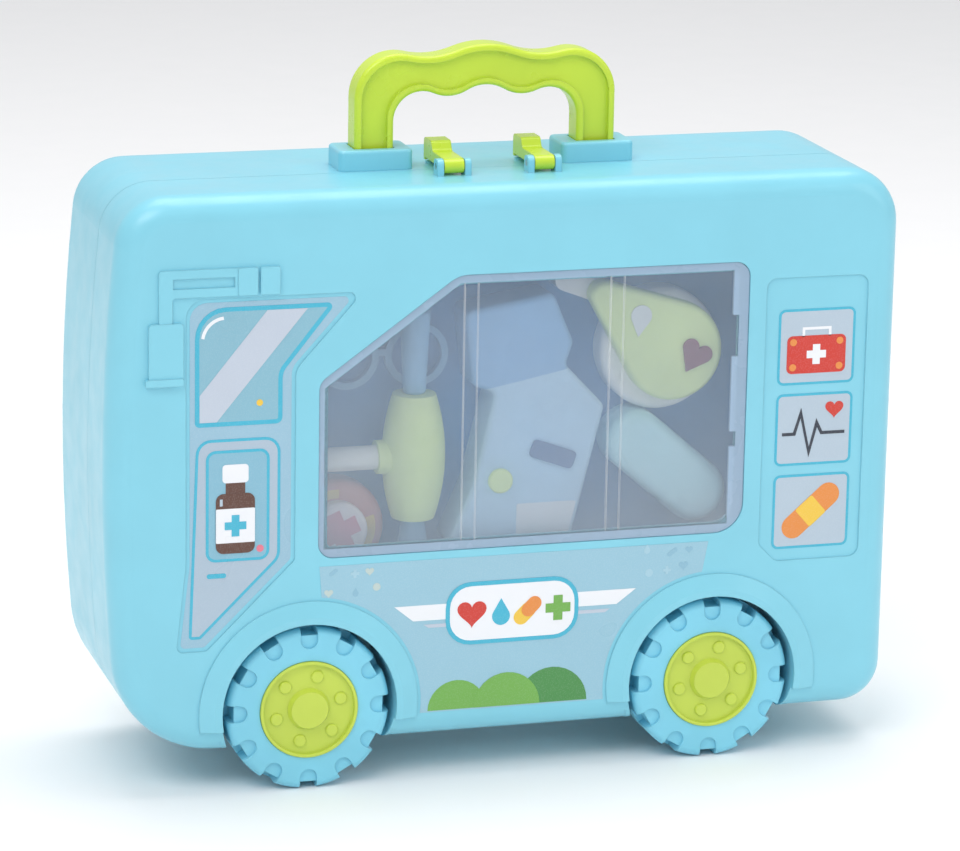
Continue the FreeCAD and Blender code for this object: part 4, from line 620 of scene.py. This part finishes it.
# Door picture, in millimetres from the nose and above the floor.
STICKER = [(33.4, 71.4, 2), (44.6, 71.4, 2), (84.6, 110.6, 3), (84.6, 199.8, 9), (113.2, 231.4, 2),
           (37.8, 231.4, 8), (37.8, 110, 9)]
PANE = [(40.2, 174.4, 2), (80.4, 174.4, 3), (80.4, 198, 8), (105.2, 229, 2), (40.2, 229, 14)]
PANE_LINE = 2
LEAF = [(37.4, 75.4, 1.6), (42.8, 75.4, 1.6), (79.6, 111.6, 8), (79.6, 168.4, 7), (40.8, 168.4, 7)]
PICTURE = [(45.2, 111.2, 4.5), (74.6, 111.2, 4.5), (74.6, 163.2, 4.5), (45.2, 163.2, 4.5)]
LEAF_LINE = 1.3
DOOR = [
    ("sticker", "sticker", 0, rounded, STICKER),
    ("pane_line", "teal", 1, inset, (PANE, 0), (PANE, PANE_LINE)),
    ("pane", "pane", 1, inset, (PANE, PANE_LINE)),
    ("glare", "glare", 2, polygon,
     [(42.3, 176.5), (50.1, 176.5), (91.8, 226.9), (73.3, 226.9), (42.3, 188.9)]),
    ("shine", "white", 2, bow, (1.5, 54.2, 213.6, 10.6, 172, 95, 14)),
    ("spark", "yellow", 2, disc, (69.9, 184.5, 1.5)),
    ("leaf_line", "teal", 1, inset, (LEAF, 0), (LEAF, LEAF_LINE)),
    ("leaf", "door_leaf", 1, inset, (LEAF, LEAF_LINE)),
    ("picture_line", "teal", 2, inset, (PICTURE, 0), (PICTURE, LEAF_LINE)),
    ("picture", "sky", 2, inset, (PICTURE, LEAF_LINE)),
    ("grip", "teal", 2, block, (45.7, 103.6, 54.6, 105.8, 1)),
    ("bottle_neck", "brown", 3, block, (54.3, 141, 63.3, 149, 1)),
    ("bottle", "brown", 4, block, (49.8, 115, 67.8, 143, 3.5)),
    ("bottle_cap", "white", 4, block, (52.8, 148, 64.8, 156.5, 1.6)),
    ("bottle_label", "white", 5, block, (49.8, 120, 67.8, 136, 0.5)),
    ("bottle_cross", "teal", 6, cross, (58.8, 128, 10, 3.6)),
    ("bottle_shine", "pale", 5, stroke, ([(52.2, 137.4), (52.2, 140.6)], 1.3)),
    ("tablet", "pink", 3, disc, (70.3, 116.6, 1.7)),
]

# Tail pictures, in millimetres from the tail and above the floor: first-aid kit, pulse line and plaster.
TAIL_SIDES = (-59.4, -21.5)
TAIL_LEVELS = ((178.6, 214.8), (139.8, 174.4), (99.6, 135.4))
TAIL_ROUND = 3.2
TAIL_LINE = 1.2
TAIL = [
    ("kit", "red", 1, block, (-55, 184, -26, 202, 2.6)),
    ("kit_grip", "white", 1, stroke, ([(-47, 201.5), (-47, 205.4), (-34, 205.4), (-34, 201.5)], 1.3)),
    ("kit_corners", "orange", 2, disc, (-52, 187, 1.7, 14), (-52, 199, 1.7, 14), (-29, 187, 1.7, 14),
     (-29, 199, 1.7, 14)),
    ("kit_cross", "white", 2, cross, (-40.5, 193, 9.5, 3.6)),
    ("pulse", "dark", 1, stroke, ([(-56, 155), (-50, 155), (-47, 165), (-42.5, 146), (-39, 160),
                                   (-36.5, 155), (-25, 155)], 1.5)),
    ("pulse_heart", "red", 1, heart, (-30.5, 166.5, 9)),
    ("plaster", "orange", 1, capsule, (-49, 110, -32, 125, 5.6)),
    ("plaster_pad", "yellow", 2, rounded,
     [(-40.8, 109.6, 1), (-32.8, 116.7, 1), (-40.2, 125.1, 1), (-48.2, 118, 1)]),
]


def tail_frames():
    """Line and ground of each tail picture."""
    rows = []
    left, right = TAIL_SIDES
    for number, (low, top) in enumerate(TAIL_LEVELS, 1):
        corners = box_corners(left, low, right, top, TAIL_ROUND)
        rows.append(("frame_%d" % number, "teal", 0, inset, (corners, 0), (corners, TAIL_LINE)))
        rows.append(("ground_%d" % number, "pale", 0, inset, (corners, TAIL_LINE)))
    return rows


def door_print():
    """Door sticker: pane with a glare stripe, and a lower leaf with a framed bottle."""
    draw("door_", DOOR, nose, sunk_face)


def tail_print():
    """Three framed pictures on the tail panel."""
    draw("tail_", tail_frames() + TAIL, tail, sunk_face)


# Lower band, in millimetres from the middle of the case and above the floor.
BAND_SIDES = (-90, 97)
BAND_LOW = 32.5
BAND_TOP = 106
ARCH_WIDTH = 14.7
ARCH_SKIP = 0.3
ARCH_STEPS = 20
BADGE = [(-30, 64, 12), (34, 64, 12), (34, 94, 12), (-30, 94, 12)]
BADGE_LINE = 2
BAND = [
    ("stripe_left", "white", 1, polygon, [(-45.5, 77), (-20, 77), (-20, 84.4), (-54.5, 84.4)]),
    ("stripe_right", "white", 1, polygon, [(26, 78.6), (52.6, 78.6), (62, 85.6), (26, 85.6)]),
    ("stripe_thin", "glare", 1, polygon, [(-38, 73.4), (-20, 73.4), (-20, 75), (-40.5, 75)],
     [(26, 75), (47, 75), (49.4, 76.6), (26, 76.6)]),
    ("hill_left", "green", 1, turn, (-24, 33.2, 14, 0, 180, 16)),
    ("hill_right", "leaf", 1, turn, (22, 33.2, 17, 0, 180, 16)),
    ("hill_front", "green", 2, turn, (0, 33.2, 16, 0, 180, 16)),
    ("badge_rim", "teal", 2, rounded, BADGE),
    ("badge", "white", 3, inset, (BADGE, BADGE_LINE)),
    ("badge_heart", "red", 4, heart, (-17.5, 79.4, 14)),
    ("badge_drop", "teal", 4, drop, (-3.5, 76.8, 8.6)),
    ("badge_capsule_left", "yellow", 4, capsule, (6.2, 75.6, 9.6, 79, 3.6)),
    ("badge_capsule_right", "orange", 5, capsule, (9.6, 79, 12.6, 82, 3.3)),
    ("badge_cross", "green", 4, cross, (24, 79, 12, 4.4)),
]

# Signs scattered over the band: seed, area, step, and the places kept clear.
SIGN_SEED = 7
SIGN_LOW = (-84, 37)
SIGN_HIGH = (96, 104)
SIGN_STEP = 9.5
SIGN_KINDS = 5
SIGN_DRIFT_SHARE = 0.22
SIGN_SIZE_SHARES = (0.36, 0.5)
SIGN_DISC_STEPS = 20
SIGN_DROP_SHARE = 0.7
SIGN_CLEAR = [(-60, 56, 66, 108), (-90, 30, -46, 90), (52, 30, 97, 90), (-46, 30, 50, 60)]
SIGN_INKS = ("cream", "doodle", "shade")


def band_outline():
    """Lower band between the wheel arches."""
    left, axle = middle("tyre_front_left")
    right = middle("tyre_front_right")[0]
    reach = axle + ARCH_WIDTH
    dip = math.degrees(math.asin((axle - BAND_LOW) / reach))
    start = math.degrees(math.asin((reach - ARCH_SKIP) / reach))
    arch_left = turn(left, axle, reach, start, -dip, ARCH_STEPS)
    arch_right = turn(right, axle, reach, HALF_TURN + dip, HALF_TURN - start, ARCH_STEPS)
    return [(BAND_SIDES[0], BAND_TOP), *arch_left, *arch_right, (BAND_SIDES[1], BAND_TOP)][::-1]


def signs_at(x, z, size):
    """The signs that may stand at a place."""
    return (cross(x, z, size, size / 3), heart(x, z, size), drop(x, z - size / 4, size * SIGN_DROP_SHARE),
            disc(x, z, size / 2, SIGN_DISC_STEPS),
            capsule(x - size / 3, z - size / 4, x + size / 3, z + size / 4, size / 4))


def kept_clear(x, z):
    """Whether a place stays clear of signs."""
    return any(left < x < right and low < z < top for left, low, right, top in SIGN_CLEAR)


def scattered_signs():
    """Outlines of small medical signs, by ink."""
    chance = random.Random(SIGN_SEED)
    groups = {"doodle": [], "shade": [], "cream": []}
    x = SIGN_LOW[0]
    while x < SIGN_HIGH[0]:
        z = SIGN_LOW[1]
        while z < SIGN_HIGH[1]:
            sign_x = x + chance.uniform(-SIGN_DRIFT_SHARE, SIGN_DRIFT_SHARE) * SIGN_STEP
            sign_z = z + chance.uniform(-SIGN_DRIFT_SHARE, SIGN_DRIFT_SHARE) * SIGN_STEP
            kind = chance.randrange(SIGN_KINDS)
            tone = chance.choice(SIGN_INKS)
            size = SIGN_STEP * chance.uniform(*SIGN_SIZE_SHARES)
            if not kept_clear(sign_x, sign_z):
                groups[tone].append(signs_at(sign_x, sign_z, size)[kind])
            z += SIGN_STEP
        x += SIGN_STEP
    return groups


def band_print():
    """Lower band of the window side: pale ground, scattered signs, stripes, hills and a badge."""
    plate("band", [band_outline()], "band", face)
    for tone, signs in scattered_signs().items():
        plate("band_signs_" + tone, signs, tone, face, layer=1)
    draw("", BAND, 0, face)


# Prints on the toys, in millimetres and degrees.
CROSS_SIZE = 19
CROSS_ARM = 8
CROSS_TILT = 24
TRIM_OUTER = 18.6
TRIM_INNER = 14.4
TRIM_ARCS = ((-70, 18), (86, 142))
SPOT_LEFT = 12.8
SPOT_UP = 18.4
SPOT_SIZE = 10
SPOT_TILT = 172
SPOT_LAYER = 4
LABEL_FROM_BUTTON = [(8.2, -28.5, 1), (33, -28.5, 1), (37, -11.7, 1), (8.2, -11.7, 1)]


def toy_prints():
    """Printed details of the toys behind the window."""
    x, z = middle("medicine_disc")
    medicine_cross = turned(cross(x, z, CROSS_SIZE, CROSS_ARM), x, z, CROSS_TILT)
    plate("medicine_cross", [medicine_cross], "pink", front_of("medicine_disc"))
    trims = [ring_part(x, z, TRIM_OUTER, TRIM_INNER, *arc) for arc in TRIM_ARCS]
    plate("medicine_trim", trims, "yellow", front_of("medicine_box"))
    x, z = middle("stethoscope_disc")
    x, z = x - SPOT_LEFT, z + SPOT_UP
    spot = turned(drop(x, z, SPOT_SIZE), x, z, SPOT_TILT)
    plate("stethoscope_spot", [spot], "white", front_of("stethoscope_cover"), SPOT_LAYER)
    x, z = middle("thermometer_button")
    label = rounded(*((x + across, z + up, radius) for across, up, radius in LABEL_FROM_BUTTON))
    plate("thermometer_label", [label], "white", front_of("thermometer_body"))


door_print()
tail_print()
band_print()
toy_prints()


# Studio and camera, in metres.

FLOOR_HALF = 12
FLOOR_CELLS = 2
PAPER_DARK = (0.93, 0.935, 0.94, 1.0)
PAPER_PALE = (0.96, 0.96, 0.965, 1.0)
PAPER_ROUGHNESS = 0.8
SURROUND = (0.98, 0.985, 1.0, 1.0)
SURROUND_STRENGTH = 0.62
LIGHT_TARGET = (0, 0, 0.15)
# Lights: place, width and height, and power in watts.
LIGHTS = {
    "key_light": ((-1.2, -1.4, 2.2), (1.6, 1.2), 24),
    "fill_light": ((1.6, -1.6, 1.0), (1.4, 1.4), 8),
    "top_light": ((0.2, 0.3, 2.3), (1.8, 1.4), 26),
}

# The photograph's viewpoint: place, turn to the right, dip and roll; lens and sensor in millimetres.
VIEW_PLACE = (-0.5698, -1.9054, 0.6717)
VIEW_TURN = math.radians(16.697)
VIEW_DIP = math.radians(14.618)
VIEW_ROLL = math.radians(1.02)
VIEW_REACH = 50
LENS = 164.3
SENSOR = 36


def floor():
    """Plain pale paper under the case."""
    work = bmesh.new()
    bmesh.ops.create_grid(work, x_segments=FLOOR_CELLS, y_segments=FLOOR_CELLS, size=FLOOR_HALF)
    mesh = bpy.data.meshes.new("floor")
    work.to_mesh(mesh)
    work.free()
    paper = bpy.data.objects.new("floor", mesh)
    bpy.context.scene.collection.objects.link(paper)
    paint = Paint("floor_paper")
    paint.set(Base_Color=paint.tint(paint.noise("paper"), PAPER_DARK, PAPER_PALE),
              Roughness=PAPER_ROUGHNESS)
    mesh.materials.append(paint.material)


def lights():
    """Soft lights and an even surround."""
    world = bpy.data.worlds.new("studio")
    world.use_nodes = True
    backdrop = world.node_tree.nodes["Background"]
    backdrop.inputs["Color"].default_value = SURROUND
    backdrop.inputs["Strength"].default_value = SURROUND_STRENGTH
    bpy.context.scene.world = world
    for name, (place, size, power) in LIGHTS.items():
        data = bpy.data.lights.new(name, "AREA")
        data.shape = "RECTANGLE"
        data.size, data.size_y = size
        data.energy = power
        lamp = bpy.data.objects.new(name, data)
        lamp.location = place
        lamp.rotation_euler = (Vector(LIGHT_TARGET) - Vector(place)).to_track_quat("-Z", "Y").to_euler()
        bpy.context.scene.collection.objects.link(lamp)


def camera():
    """Camera at the photograph's viewpoint."""
    aim = Matrix.Rotation(-VIEW_TURN, 4, "Z") @ Matrix.Rotation(math.pi / 2 - VIEW_DIP, 4, "X")
    data = bpy.data.cameras.new("camera")
    data.sensor_width = SENSOR
    data.lens = LENS
    data.clip_end = VIEW_REACH
    view = bpy.data.objects.new("camera", data)
    view.matrix_world = Matrix.Translation(VIEW_PLACE) @ aim @ Matrix.Rotation(VIEW_ROLL, 4, "Z")
    bpy.context.scene.collection.objects.link(view)
    bpy.context.scene.camera = view
    bpy.context.scene.view_settings.view_transform = "Standard"


floor()
lights()
camera()
